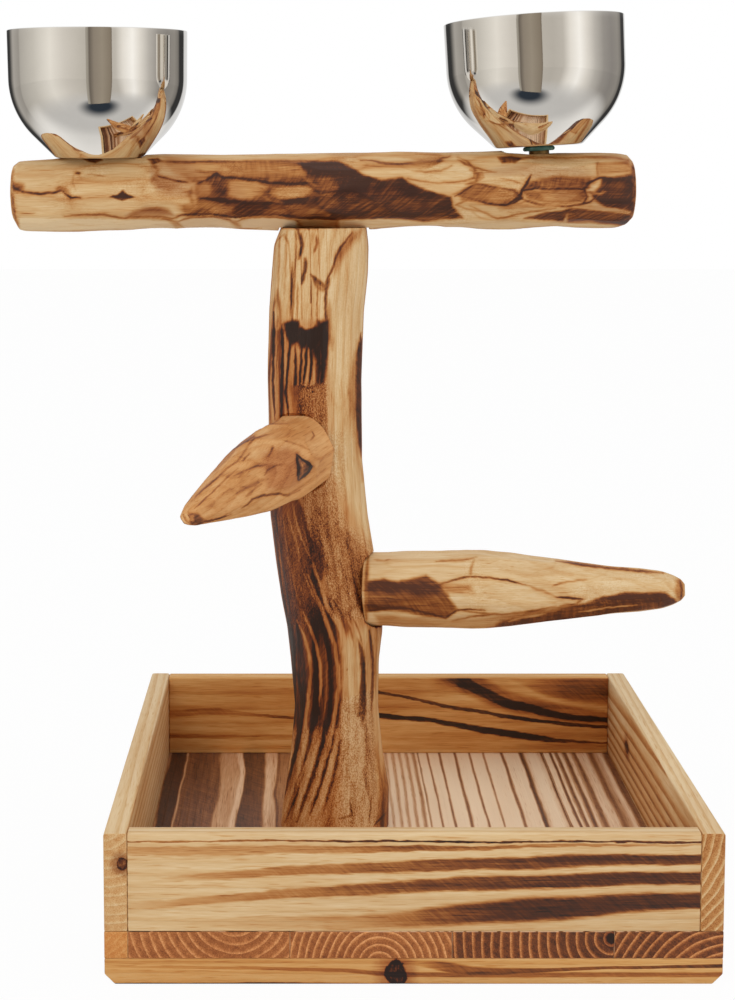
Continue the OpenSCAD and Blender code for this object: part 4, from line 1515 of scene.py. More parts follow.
TRUNK_MARKS = (
    scorch(0.07, 6, "270,228 368,228 368,560 330,560 326,400 300,400 268,400"),
    patch(Layer.BAND, 0.0, 4, "326,228 400,228 400,640 345,640 330,500 326,400"),
    patch(Layer.BAND, 0.12, 8, "300,228 330,228 330,330 305,330"),
    patch(Layer.BAND, 0.17, 6, "266,228 304,228 306,330 266,330"),
    patch(Layer.BAND, 0.5, 10, "262,330 284,330 284,420 262,420"),
    patch(Layer.BAND, 0.0, 4, "286,320 330,320 330,428 286,428"),
    scorch(0.2, 8, "266,300 284,300 286,420 262,420"),
    scorch(0.21, 6, "284,330 326,330 326,390 284,420"),
    patch(Layer.SPECK, 0.16, 4, "262,228 372,228 372,420 262,420"),
    patch(Layer.STAIN, 0.0, 4, "262,228 372,228 372,600 262,600"),
    patch(Layer.STAIN, 0.9, 10, "262,320 326,320 332,470 376,560 376,620 345,640 345,720 345,828 262,828"),
    patch(Layer.STAIN, 0.4, 10, "345,700 372,700 376,828 345,828"),
    stroke(0.34, 0.9, "280,232 279,262 277,320"),
    stroke(0.32, 0.8, "287,230 286,262 284,300"),
    stroke(0.4, 0.9, "292,262 292,285 290,318"),
    stroke(0.36, 0.8, "296,230 296,250 294,300 293,322"),
    stroke(0.58, 1.5, "301,234 302.5,246 299,259", 3.6),
    stroke(0.64, 1.8, "305.5,258 305,270 302,284", 3.6),
    stroke(0.4, 1.0, "316,236 317,244 314,252", 3.0),
    line(Layer.STAIN, 0.7, 1.6, "316,236 317,244 314,252", 3.0),
    stroke(0.42, 0.8, "298,282 297,302 297,322"),
    stroke(0.45, 0.9, "293,281 292,300 292,306"),
    stroke(0.5, 0.7, "311,280 311,296 310,312", 1.4),
    stroke(0.46, 0.9, "318,284 317.5,304 317.5,326", 1.8),
    scorch(0.36, 9, "336,254 346,240 352,232 362,229 358,238 348,250 340,262 334,276"),
    patch(Layer.STAIN, 0.8, 10, "336,254 346,240 352,232 362,229 358,238 348,250 340,262 334,276"),
    stroke(0.66, 1.2, "352,233 345,242 339,250 334.5,262 331,272 326,282", 2.2),
    stroke(0.58, 2.2, "311,275 316,280 322,284 326,288 330,278", 3.0),
    stroke(0.44, 1.6, "313,278 318,287 323,290 329,284", 4.0),
    stroke(0.7, 1.2, "326,286 325.5,300 326,316 327,328", 2.0),
    stroke(0.3, 2.6, "329,300 330,330 332,350", 5.0),
    scorch(0.92, 7.0, "284,324 293,320 299,321 300,326 305,330 312,329 316.5,325 318,321 327,321 328,336 "
                      "327,352 325,376 321,394 316,392 316,362 312,350 307,346 301,348 296,343 291,346 "
                      "287,336"),
    scorch(0.1, 1.6, "300,304 313,303 315,312 314,326 310,328.5 304,329 300,325 299,314"),
    stroke(0.86, 1.3, "274,312 274,340 273,380 275,420"),
    stroke(0.62, 0.8, "277.5,316 277.5,350 277,380"),
    stroke(0.82, 1.1, "281.5,324 283,352 281.5,384 281.5,420"),
    stroke(0.8, 1.2, "289,330 290,348 287,372 285.5,392 289,420"),
    stroke(0.84, 1.3, "295.5,345 295.5,372 294.5,400 296,420", 1.8),
    stroke(0.82, 1.0, "301.5,345 301,364 299,386"),
    stroke(0.84, 1.1, "306,346 306,366 303,384"),
    stroke(0.9, 1.2, "310.5,345 311.5,364 309,386"),
    stroke(0.22, 0.9, "292.6,352 292.3,380 291,398", 1.4),
    stroke(0.14, 1.1, "285.6,332 286.3,352 284,388"),
    stroke(0.14, 1.0, "277.8,322 278.6,352 277.6,384"),
    stroke(0.14, 0.9, "303.4,348 303.4,366 301,384", 1.4),
    stroke(0.14, 0.9, "308.4,348 308.6,366 306,384", 1.4),
    stroke(0.16, 0.9, "314,368 314,378 312,386", 1.4),
    scorch(0.36, 5, "292,386 326,384 326,430 292,430"),
    patch(Layer.SPECK, 1.0, 5, "298,382 328,382 328,430 298,430"),
    stroke(0.6, 1.4, "300,386 308,388 316,386 322,388", 3.0),
    stroke(0.93, 1.3, "312,391.5 313.5,392.5"),
    stroke(0.62, 0.7, "321,348 321,370 319,388", 1.4),
    stroke(0.66, 0.6, "307,336 307,350", 1.4),
    stroke(0.4, 1.1, "325,386 325.5,410 326,452 328,500", 2.4),
    scorch(0.86, 3.0, "353,372 357,350 361,332 364,350 364,440 361,458 358,440 354,410 352,392"),
    scorch(0.34, 6.0, "349,392 353,360 357,340 356,420 359,458 366,480 362,482 356,452"),
    stroke(0.62, 1.0, "361,452 365,470 367,490", 2.4),
    patch(Layer.SPECK, 0.55, 8, "327,430 345,430 346,500 332,500"),
    patch(Layer.BAND, 0.0, 6, "250,428 400,428 400,840 250,840"),
    scorch(0.62, 5, "262,500 297,496 305,514 311,536 321,548 325,566 322,584 327,604 336,624 342,660 "
                    "343,700 337,740 331,760 262,770"),
    scorch(0.68, 8, "280,560 300,590 314,606 326,618 318,632 262,632 262,560"),
    scorch(0.26, 5, "300,492 313,476 330,470 334,500 342,526 360,545 372,556 374,566 362,578 360,600 "
                    "350,610 336,616 327,600 322,584 325,566 321,548 311,536 306,516"),
    patch(Layer.SPECK, 1.0, 6, "298,476 332,466 338,500 348,524 372,545 376,620 330,620 322,560 304,520"),
    patch(Layer.SPECK, 0.6, 8, "262,510 304,520 322,560 326,620 262,640"),
    scorch(0.2, 8, "310,478 328,474 334,510 326,516 312,500"),
    scorch(0.4, 9, "352,552 368,558 366,600 358,612 354,600 352,575"),
    scorch(0.2, 5, "324,545 334,538 342,560 338,590 330,575"),
    stroke(0.4, 1.4, "334,520 342,536 352,552", 4.0),
    stroke(0.44, 1.4, "340,560 346,580 350,600", 4.0),
    stroke(0.58, 1.6, "322,588 330,606 337,622 341,640", 2.6),
    stroke(0.56, 1.4, "334,600 342,616 349,640 350,664", 2.4),
    stroke(0.5, 1.0, "345,668 346.5,690 344,716", 2.4),
    stroke(0.64, 2.2, "313,530 318,548 321,562", 6.0),
    stroke(0.5, 2.0, "312,518 316,534 323,552 330,578", 6.0),
    stroke(0.44, 0.6, "277.7,515 279,535.5 280,556 282.3,581 284,594", 1.2),
    stroke(0.42, 0.6, "282.3,512 285.7,540 289,565 291.4,588", 1.2),
    stroke(0.4, 0.7, "286.8,504 289,519.5 296,542 300.5,558", 1.3),
    stroke(0.34, 0.8, "292.5,504 298,528.6 306,549 314,565 321,585.5 325,600", 1.4),
    stroke(0.4, 0.6, "300.5,515 304,531 310.7,556", 1.2),
    stroke(0.34, 0.9, "304,574 309.5,588 317.5,603.6 325.5,617", 1.5),
    stroke(0.4, 0.6, "290,560 294,584 300,604", 1.2),
    scorch(0.18, 7, "345,640 358,612 372,612 384,640 384,760 372,828 340,828 338,740 343,690"),
    scorch(0.27, 10, "262,728 343,728 341,758 334,790 325,812 316,828 262,828"),
    stroke(0.84, 5.0, "288,620 291,650 293,690 291,730", 4.0),
    stroke(0.88, 3.0, "297,624 301,650 303.5,672 304,694 301,724", 3.0),
    stroke(0.86, 2.6, "310,612 314.5,638 317.5,663 316.5,694 312,734", 2.6),
    stroke(0.84, 2.2, "322,622 327,642 331,665 331.5,690 327,734", 2.4),
    stroke(0.76, 1.6, "333,632 337.6,655 339.4,680 337,704 333,728", 2.0),
    stroke(0.8, 2.2, "301,700 299,735 293,762 285,790 277,814", 2.8),
    stroke(0.8, 2.0, "313,700 310,740 304,768 295,795 285,822", 2.8),
    stroke(0.78, 1.8, "327,700 323,742 315,770 306,795 297,822", 2.8),
    stroke(0.72, 1.6, "335,700 332,742 326,768 318,793 308,822", 2.8),
    stroke(0.64, 1.4, "341,716 339,752 333,780 322,815", 3.0),
    stroke(0.72, 1.6, "292,724 288,750 283,774 276,798", 2.8),
    stroke(0.3, 1.6, "345,735 344,758 338,785 328,818", 2.6),
    stroke(0.72, 3.6, "351,628 359,648 363,672 363,700 359,738", 3.6),
    stroke(0.62, 1.4, "369,630 372,650 373,672 371,712", 2.4),
    stroke(0.26, 2.0, "296.5,620 304,636 309.5,654 311.4,672 308.4,696 306,717 304,740 296,767 "
                      "284.5,808 280,824", 1.9),
    stroke(0.3, 1.6, "302.7,612 310.7,629 316.4,645 319.8,663 321,686 319,706", 1.7),
    stroke(0.3, 1.7, "319,716 316,735 311.8,751 298,783 286,818", 2.4),
    stroke(0.24, 2.2, "307,574 315,592 323,610.5 327.7,626.4 334.5,644.5 338,667 339,686 336,708 "
                      "331,735 324,762 313,790 298,824", 1.9),
    stroke(0.18, 2.6, "311.8,565 321,585.5 327.7,608 339,624 345,644.5 347,667 346,690 344,712 338,738 "
                      "331,766 321,796 306,827", 2.2),
    stroke(0.16, 4.0, "338,618 345,640 350,658 352,683 350,710 350,735 352,770 352,800", 3.6),
    stroke(0.22, 2.0, "347,617 355,634 357,652 359,672 357,700", 2.2),
    stroke(0.22, 1.5, "366,640 367.5,672 368,694 371,717", 2.2),
    stroke(0.12, 1.3, "295,724 293,748 286,778 276,814", 2.0),
    stroke(0.1, 1.2, "305,740 299,768 291,794 280,822", 2.0),
    stroke(0.1, 1.2, "318,740 311,768 302,795 290,824", 2.0),
    stroke(0.12, 1.2, "328,742 322,768 313,795 301,824", 2.0),
    stroke(0.14, 1.2, "337,742 332,768 325,793 313,824", 2.0),
    stroke(0.4, 0.9, "290,640 291,680 290,720", 1.8),
    stroke(0.44, 0.8, "296,650 297,690 295,735", 1.8),
    stroke(0.46, 0.8, "313.5,660 313,690 309,722", 1.8),
    stroke(0.44, 0.8, "324,640 327,668 326,700 322,730", 1.8),
    scorch(0.13, 4, "350,612 358,606 366,618 368,640 364,648 358,636 352,622"),
    stroke(0.5, 0.7, "352,616 358,628 362,644", 1.2),
    patch(Layer.SPECK, 0.7, 8, "283,730 345,720 342,828 276,828"),
    patch(Layer.SPECK, 1.0, 7, "340,700 372,690 380,828 336,828"),
    scorch(0.12, 6, "343,724 360,716 368,760 372,828 338,828 343,770"),
    stroke(0.44, 2.0, "365,720 368,750 366,780 370,800", 4.0),
    stroke(0.45, 1.2, "350,800 352,815 344,818 338,818"),
    stroke(0.6, 0.7, "372,796 370,812 369,820", 1.2),
    stroke(0.62, 0.9, "374,826 381,818 388,811", 1.2),
    stroke(0.95, 0.9, "347,669 347.6,669.4", 1.2),
    # Painted shadow: the dark line down the trunk's right edge, where the right branch's root meets it.
    stroke(0.78, 2.6, "370,556 366,580 364,605 366,622", 4.0),
)

PERCH_MARKS = (
    scorch(0.13, 8, "8,150 160,150 185,190 175,232 8,232"),
    patch(Layer.STAIN, 0.0, 4, "8,150 150,150 150,232 8,232"),
    scorch(0.12, 6, "440,150 640,150 640,232 470,232 455,200"),
    scorch(0.54, 14, "184,174 300,168 318,180 300,216 190,216 180,206 190,190"),
    scorch(0.2, 8, "155,180 196,182 196,206 160,206"),
    scorch(0.29, 10, "166,164 300,160 300,174 204,178 180,176"),
    scorch(0.42, 8, "232,164 262,161 300,162 296,174 250,173 230,172"),
    scorch(0.79, 5.5, "298,162 337,161 352,168 363,176 382,180 402,177.5 411,184 430,191 451,196.5 "
                      "452.5,206 462,217.5 425,219 337,219 262,217 235,214 250,206 300,200 320,190"),
    scorch(0.6, 9, "300,176 330,176 340,188 338,206 312,210 298,196"),
    scorch(0.68, 8, "345,196 400,192 420,205 380,212 348,208"),
    stroke(0.82, 1.5, "318,168 350,172 380,184 410,186", 6.0),
    stroke(0.84, 1.3, "334,196 362,186 398,188 420,196 448,200", 5.0),
    scorch(0.29, 9, "222,189 230,183 244,180 257,182 266,187 262,193 252,198 240,199.6 229,196"),
    scorch(0.28, 9, "270,192 282,187.4 300,185.6 314,187.6 309,193.6 295,199 280,199"),
    scorch(0.36, 7, "196,186 208,183 214,187 210,195 198,196"),
    stroke(0.5, 1.6, "270,182 268,190 266,198", 3.0),
    scorch(0.66, 9, "207,179 216,174 226,179 228,190 222,201 214,200 213,190"),
    stroke(0.84, 1.3, "198,183 208,179.5 216,174 224,177.6 236,178 252,179.5 268,182.5 290,184 318,183"),
    stroke(0.9, 1.8, "200,198.5 212,199 226,201 240,203 254,204.5 276,203 296,200.5 308,198", 2.2),
    scorch(0.74, 9, "232,203 250,203 276,204 270,211 256,217 240,217.5 228,211"),
    scorch(0.42, 8, "184,209 206,203 232,206 232,213 206,212"),
    scorch(0.64, 7, "188,213.6 200,208 212,207 208,213.4"),
    scorch(0.55, 5, "272,204 300,204 330,212 330,218 262,216"),
    stroke(0.7, 1.0, "155,175 167.5,179 178,181 188,182.8"),
    scorch(0.36, 9, "153,177 168,180 178,185 170,192 156,188"),
    patch(Layer.STAIN, 0.7, 7, "150,172 180,178 182,190 158,190"),
    scorch(0.7, 2.6, "109.5,197 117,194.6 123,190 128,194.6 134,197 128,199.2 123,200.6 117,199"),
    scorch(0.5, 6, "10,181 24,184 24,192 11,193"),
    stroke(0.74, 1.1, "11,183 14.4,188 22,191.6 41,193.8 56.6,192 62.8,190 70.6,197 80,197.8"),
    stroke(0.42, 1.6, "56,189 64,189 70,194", 3.0),
    scorch(0.74, 2, "82,158 98,157.4 103,160 96,163 88,162"),
    scorch(0.7, 2.4, "147,158.5 153,164.4 163,161.6 158,158"),
    stroke(0.5, 0.9, "150,160.5 177,162 208,161.6 250,162 290,161 318,161", 1.8),
    stroke(0.58, 0.7, "75,173 80.5,173", 1.2),
    stroke(0.34, 0.7, "86,175 95,174.5 103,176.5", 1.4),
    stroke(0.26, 0.8, "75,172 72,182 76,191", 2.0),
    stroke(0.3, 0.7, "20,213 28,214 36,213", 1.4),
    stroke(0.52, 1.0, "64,216.4 86,214.9 105,214.9 117.5,217 124,218 145.6,216.4 162.8,217 172,218.9 "
                      "181.6,215", 1.7),
    stroke(0.8, 1.0, "178,215.6 190,214.4 208,214 224,215.6 238,218 250,215.6 262,214.6", 1.8),
    stroke(0.78, 1.0, "262,215 280,215.5 310,218.4 338,219 360,217", 1.8),
    stroke(0.66, 0.9, "360,217 382,216.5 400,218 425,220 440,218 462,217.5", 1.8),
    scorch(0.5, 7, "130,214 142,208.6 156,206.4 168,209 172,214"),
    patch(Layer.STAIN, 0.9, 7, "126,215 146,207 164,208 176,216"),
    stroke(0.3, 0.8, "118,221 124,218.6", 1.4),
    # Painted light: the pale lens facets along the perch's underside are painted paler than bare wood, a
    # painted lift against the shade under the perch.
    scorch(-0.08, 2.4, "20,219 64,218.6 118,219.4 170,221 180,218 230,218.4 262,218 296,220 296,230 20,230"),
    scorch(0.36, 4, "298,221 338,221 338,229 298,229"),
    # Partly the pale wood of the underside, partly painted light: burn 0 lifts the underside's right part
    # against the shade under the perch.
    scorch(0.0, 3, "340,221 380,219 425,222 462,220 640,224 640,231 340,231"),
    stroke(0.46, 0.9, "118,219 140,216.6 160,218 176,222 184,228", 1.8),
    stroke(0.46, 0.9, "176,222 190,217.6 212,216.6 230,220 240,226", 1.8),
    stroke(0.44, 0.9, "234,222 252,216.6 276,216 296,220 304,228", 1.8),
    patch(Layer.STAIN, 0.3, 6, "176,220 240,217 300,218 296,230 180,230"),
    scorch(0.26, 6, "170,222 176,221 182,229 176,228"),
    scorch(0.28, 6, "230,221 236,220 242,228 236,228"),
    stroke(0.4, 1.0, "140,229 170,229.5 200,228 236,229 262,228.5", 2.0),
    scorch(0.1, 3, "345,157 372,156 400,157.5 420,160 412,165 386,165 362,163 346,160"),
    stroke(0.5, 0.9, "360,160 372,160.4 386,163.6 400,164 420,163 436,160 450,156", 1.8),
    stroke(0.34, 0.8, "362,165 378,166.6 400,167 412,170", 1.8),
    scorch(0.1, 3, "410,178 424,170 440,163 456,158 474,164 480,172 470,179 446,182 430,183"),
    stroke(0.46, 0.8, "407,178 420,181 440,183 460,181.5 474,178 475,170 468,162 458,157", 1.7),
    stroke(0.44, 0.9, "458,160 470,166 484,170 496,172", 1.8),
    scorch(0.34, 2.4, "475,172 483,171 485,178 480,181 474,178"),
    scorch(0.14, 4, "420,186 452,187 454,196 430,190"),
    stroke(0.3, 1.2, "448,196 470,188 500,190", 3.0),
    scorch(0.5, 6, "458,194 475,184 498,186 516,191 522,198 506,205 480,203 462,200"),
    stroke(0.7, 1.0, "455,196 466,190 476,184 492,187 514,190.6 522,198 514,203.6 504,205.4 486,203 "
                     "470,199", 1.7),
    stroke(0.86, 1.2, "531,175 527,184 522,191 519.6,197.6 505,205.6"),
    stroke(0.84, 1.1, "522,190.4 536,188.6 560,189.2 582,189 590,182 600,177.6 612,178.6", 1.7),
    scorch(0.54, 6, "533,180 560,175 590,178 588,188 550,188 524,189"),
    scorch(0.5, 6, "524,192 556,190 584,190 588,198 570,205 545,203 526,198"),
    stroke(0.4, 0.8, "470,199 456,205 470,210 484,212", 2.4),
    stroke(0.36, 0.8, "498,208 512,206 530,200 544,206", 2.4),
    stroke(0.44, 0.8, "412,170 424,172 440,171 452,166", 2.6),
    stroke(0.36, 0.7, "500,178 512,181 524,184", 2.4),
    stroke(0.62, 1.0, "520,199 540,205 570,206.6 590,202 596,198", 1.8),
    stroke(0.66, 0.9, "590,181 584,188 587,197 583,204"),
    scorch(0.92, 7, "602,178 626,178 631,190 631,206 612,208 604,200"),
    scorch(0.72, 7, "592,196 604,180 634,174 636,214 606,210"),
    stroke(0.4, 1.2, "586,192 600,194 606,192", 2.4),
    # Painted highlight: the tan patch along the upper edge near the perch's right end, paler than the
    # charred end below.
    scorch(0.34, 4, "596,163 628,161 634,172 600,174"),
    stroke(0.44, 0.9, "598,162 597,168 598,176", 1.8),
    stroke(0.46, 1.2, "500,160 530,157.4 570,158 610,157 628,160", 2.4),
    scorch(0.76, 3.0, "524,218.6 545,212 571,209.5 566,216 563,221 545,220"),
    stroke(0.46, 0.9, "470,206 488,214 498,219 510,216 530,212 556,208", 1.8),
    scorch(0.68, 5, "566,210 590,206 628,212 634,218 628,226 590,222 568,222"),
    scorch(0.24, 3, "574,207 600,206 632,211 630,214 600,211"),
    scorch(0.62, 3.4, "498,157 512,156 522,158 515,163 502,163"),
    stroke(0.3, 0.8, "470,210 480,218 492,220", 2.0),
    stroke(0.36, 1.6, "14,160 11,180 12,206 16,226", 3.0),
    stroke(0.52, 1.0, "12,194 14.6,215 19,228", 2.0),
    stroke(0.55, 2.0, "633,162 635,190 634,216", 3.0),
    stroke(0.46, 1.0, "196,170 206,173 214,172", 4.0),
    stroke(0.48, 1.2, "222,166 240,168 262,167 280,170", 4.0),
    stroke(0.46, 1.0, "244,174 262,176 286,176 300,178", 4.0),
    stroke(0.42, 1.4, "192,188 190,196 194,206", 5.0),
    stroke(0.44, 1.2, "262,196 272,201 284,203", 4.0),
    stroke(0.42, 1.4, "300,170 306,180 316,186", 5.0),
    stroke(0.36, 1.2, "150,162 158,170 152,182", 5.0),
    scorch(0.3, 5, "412,163 424,158 440,158 432,166 420,170"),
    stroke(0.5, 1.2, "470,170 478,174 476,182 466,184", 3.4),
    scorch(0.38, 7, "486,196 500,188 516,192 512,200 494,202"),
    scorch(0.34, 6, "540,193 566,192 580,196 566,202 544,201"),
    stroke(0.34, 1.6, "500,210 516,206 540,207 560,206", 5.0),
)

RIGHT_BRANCH_MARKS = (
    scorch(0.04, 6, "362,548 690,560 690,604 362,632"),
    scorch(0.1, 8, "470,584 560,592 600,594 560,604 500,606 460,600"),
    patch(Layer.STAIN, 0.0, 6, "362,548 690,560 690,604 362,632"),
    scorch(0.6, 5.4, "366,581 384,579 398,581.5 409,579 426,575 442,585 446,592 457,609.4 446,618 420,616 "
                     "394,609.4 366,611.6"),
    scorch(0.74, 7.0, "383,590 404,584 426,581.5 442,585 438,594 424,596 404,592 388,597"),
    scorch(0.58, 6.0, "378,596 400,594 424,600 440,612 420,610 396,604"),
    stroke(0.82, 0.9, "366,611.6 388,607.6 407,608.3 426,612.6 446,618 457,610.5 470,609 485,610.5"),
    scorch(0.42, 8, "440,584 470,585 474,592 446,593"),
    stroke(0.72, 0.8, "438,585 444,583.4 458,579 470,576.4 489.5,578 506.8,580 526.4,585.4", 1.5),
    stroke(0.28, 1.4, "526,585 545,592 557,597", 2.6),
    stroke(0.7, 0.9, "556.7,597.4 570,598 583,599", 1.5),
    stroke(0.44, 1.2, "583,599 576,604 560,606", 2.4),
    scorch(0.4, 5, "470,621 500,616 528,611.6 560,607 585,602.4 604,597 600,606 560,614 530,622 500,627 "
                   "470,626"),
    scorch(0.68, 5.0, "508,620 528,616 560,610 585,604 604,597 624,592.4 650,593 665,592.6 678,602 662,616 "
                      "620,622 572,632 530,640 490,640 484,630 500,622"),
    stroke(0.26, 0.8, "578,612 602,608.6 615,606.8 637,605.4"),
    stroke(0.26, 1.2, "508,622 520,618 545,614", 2.4),
    stroke(0.46, 0.9, "457,610 480,613 502,614.8 528,611.6 556,606", 1.8),
    scorch(0.26, 6, "374,614 420,618 470,620 500,618 494,627 440,627 380,625"),
    stroke(0.5, 0.9, "452,621 470,617 492,614.6", 1.8),
    stroke(0.56, 1.3, "556,561 575,563.4 594,566.4 616,568.6 637,570.6 663,573", 2.4),
    stroke(0.46, 0.8, "436,561.6 450,560.6 463.5,560 476.5,557.4"),
    stroke(0.34, 0.9, "552,586.6 560,583 568,581.4 587,580", 2.0),
    stroke(0.34, 1.2, "470,577 471,568 474,560", 3.0),
    scorch(0.3, 5, "676,578 684,580 684,600 678,603 675,592"),
    stroke(0.62, 0.9, "680,580 682,590 681,600"),
    # Painted shade: the dark line along the branch's root end, where it meets the trunk.
    stroke(0.5, 1.6, "368,556 366,580 366,622", 4.0),
    stroke(0.28, 0.8, "374,560 384,561 390,559", 2.0),
)

FRONT_BRANCH_MARKS = (
    scorch(0.07, 8, "170,410 340,410 340,535 170,535"),
    scorch(0.16, 14, "290,420 335,425 332,470 300,500 286,470"),
    patch(Layer.STAIN, 0.1, 8, "170,410 340,410 340,535 170,535"),
    scorch(0.2, 14, "225,474 262,455 296,462 300,486 262,490 232,496"),
    patch(Layer.STAIN, 0.75, 12, "262,452 286,446 298,454 300,482 288,492 268,490"),
    scorch(0.26, 12, "266,458 288,450 299,462 298,484 280,490 268,482"),
    scorch(0.52, 3, "297,455 311,466 299,480"),
    patch(Layer.STAIN, 0.0, 2, "297,455 311,466 299,480"),
    stroke(0.3, 0.8, "301,462 303,468 302,474"),
    stroke(0.97, 1.3, "296.8,454.6 303,459.6 308,463 311,466.4 308.6,471 303,476.6 299,480.4", 1.3),
    stroke(0.97, 1.2, "296.8,454.6 297.4,462 298.6,470 298.4,480", 1.3),
    stroke(0.44, 1.0, "303,471 305,466 303,462", 1.4),
    stroke(0.56, 0.9, "264,474.6 268,470 274,466 284,463.4", 1.7),
    stroke(0.6, 0.8, "268.6,456.4 271.4,451 273,445.6", 1.5),
    stroke(0.56, 0.7, "241.4,461.4 246,457 250.4,452.4", 1.4),
    stroke(0.5, 0.8, "234,476 240,472.4 246,470 256,466.4 268,465", 1.8),
    stroke(0.62, 1.1, "242,508 248,504 252.4,499.4 263,495.4 278.5,494 288,495.4 300,490", 1.8),
    stroke(0.42, 1.8, "224,503.4 236,494 246,487.4 258,482 268,478.4", 3.2),
    stroke(0.46, 0.8, "191,501 204,489 215.6,478.8 228,468 239.4,459 248,446 254.6,437.5 266,435 "
                      "276,432.6", 1.7),
    stroke(0.4, 0.8, "194,509 210,494 226,479 238,468", 1.7),
    stroke(0.58, 1.0, "229,451.4 238,446 246,440.8 254.6,436", 1.8),
    stroke(0.56, 0.8, "272.6,432.4 276,430 279,428.6", 1.4),
    stroke(0.46, 0.8, "280,424 284,421 282,420", 1.4),
    scorch(0.46, 4, "189,513 199,513 204,520 200,526 190,526"),
    scorch(0.2, 2, "190,515 193.4,515 193.4,521 190,521"),
    stroke(0.62, 0.9, "198,523 208,521 215.6,519 230.7,514.6", 1.7),
    stroke(0.52, 0.8, "312,432 314,436 311,440"),
    stroke(0.36, 1.4, "286,496 300,488 314,478 326,468", 3.0),
    scorch(0.18, 5, "204,506 224,492 238,484 236,496 216,510"),
    scorch(0.2, 6, "268,428 292,418 306,424 300,436 276,440"),
    stroke(0.44, 0.9, "246,496 256,488 262,484", 2.0),
    stroke(0.36, 0.8, "282,440 296,444 310,450", 2.0),
)

FRONT_WALL = BoardFinish(
    "front_wall_pine", Tone.STRAW, Grain.SIDEWAYS, (-180.0, 96.0), pitch=0.0042, rings=0.05, base=0.12,
    patchy=0.14, streak=0.17, end_base=0.2,
    bands=(((-107, 71.6, 0.4, 0.40), (-30, 71.6, 0.5, 0.5), (30, 71.6, 0.5, 0.80), (90, 71.4, 0.5, 0.72),
            (170, 71.4, 0.5, 0.66)),
           ((-107, 66.6, 2.2, 0.20), (-40, 67.0, 2.1, 0.28), (0, 67.4, 1.8, 0.40), (36, 68.0, 1.4, 0.50),
            (90, 69.2, 0.8, 0.30), (170, 70.0, 0.5, 0.2)),
           ((-107, 52.0, 1.0, 0.0), (-80, 53.6, 1.6, 0.14), (-38, 56.0, 2.2, 0.34), (34, 59.3, 2.7, 0.54),
            (96, 61.4, 3.0, 0.64), (170, 62.6, 2.5, 0.66)),
           ((-107, 39.6, 1.9, 0.10), (-80, 41.4, 1.9, 0.24), (-38, 44.9, 2.2, 0.36), (34, 49.4, 3.2, 0.56),
            (96, 51.8, 3.4, 0.66), (170, 53.4, 3.0, 0.68)),
           ((-107, 30.0, 2.0, 0.0), (5, 31.8, 3.6, 0.22), (34, 33.4, 4.3, 0.46), (75, 36.8, 5.8, 0.70),
            (120, 39.4, 5.0, 0.70), (170, 42.2, 3.7, 0.68))))
BACK_WALL = BoardFinish(
    "back_wall_pine", Tone.HONEY, Grain.SIDEWAYS, (210.0, 110.0), pitch=0.0052, rings=0.10, base=0.21,
    patchy=1.1, streak=0.22, top=0.06,
    bands=(((8, 70.0, 1.0, 0.0), (22, 67.0, 1.0, 0.44), (61, 58.6, 1.0, 0.54), (96, 52.0, 1.2, 0.66),
            (124, 47.6, 1.2, 0.66), (168, 43.6, 1.0, 0.6)),
           ((58, 84.0, 4.0, 0.0), (74, 75.0, 4.4, 0.62), (84, 70.0, 4.2, 0.74), (102, 60.4, 3.8, 0.76),
            (124, 54.8, 2.9, 0.76), (140, 50.9, 2.4, 0.72), (168, 48.1, 1.8, 0.7)),
           ((8, 53.0, 1.2, 0.0), (22, 51.4, 1.5, 0.7), (61, 47.5, 1.6, 0.76), (85, 42.4, 2.0, 0.76),
            (108, 39.0, 2.2, 0.74), (132, 35.8, 1.6, 0.66), (165, 33.4, 0.6, 0.4)),
           ((56, 84.0, 7.0, 0.0), (74, 76.0, 8.0, 0.30), (102, 62.0, 7.0, 0.34), (130, 55.0, 5.5, 0.30),
            (168, 49.0, 4.5, 0.26)),
           ((104, 76.0, 1.0, 0.0), (122, 71.5, 4.0, 0.2), (142, 68.0, 7.0, 0.5), (170, 67.0, 8.6, 0.56)),
           ((-107, 52.0, 2.4, 0.2), (-80, 54.0, 2.2, 0.24), (-60, 52.0, 1.4, 0.16), (-40, 50.0, 0.8, 0.36),
            (-18, 48.8, 0.8, 0.36), (0, 48.0, 0.6, 0.0)),
           ((-107, 38.0, 1.6, 0.2), (-60, 36.4, 1.6, 0.16), (-24, 37.2, 1.4, 0.2),
            (20, 36.0, 1.0, 0.1))))
LEFT_WALL = BoardFinish(
    "left_wall_pine", Tone.STRAW, Grain.BACKWARD, (-117.0, 84.0), pitch=0.0046, tilt=(0.035, -0.012),
    rings=0.20, base=0.15, patchy=0.26, top=0.03, end_base=0.3, end_rings=-0.14,
    knots=(Knot((-109.2, -132.5, 60.2), (3.0, 9.0, 3.3), 0.5, "#8A4424"),))
RIGHT_WALL = BoardFinish(
    "right_wall_pine", Tone.STRAW, Grain.BACKWARD, (124.0, 80.0), pitch=0.0040, tilt=(0.045, 0.02),
    rings=0.36, base=0.19, patchy=0.3, top=0.03, end_base=0.46, end_rings=-0.28,
    knots=(Knot((170.2, 60.0, 52.0), (3.0, 5.0, 4.0), 0.5),
           Knot((170.2, -64.0, 46.0), (3.0, 6.0, 4.0), 0.5)))


def stave(number: int, tone: Tone, pith: tuple[float, float], stripes: Sequence, box: tuple,
          **more: object) -> BoardFinish:
    """The finish of one floor stave, whose grain runs front to back."""
    return BoardFinish(f"stave_{number}_pine", tone, Grain.BACKWARD, pith, stripes=stripes, stripe_box=box,
                       rings=0.3, patchy=0.16, end_tint="#FFDDB6", **more)


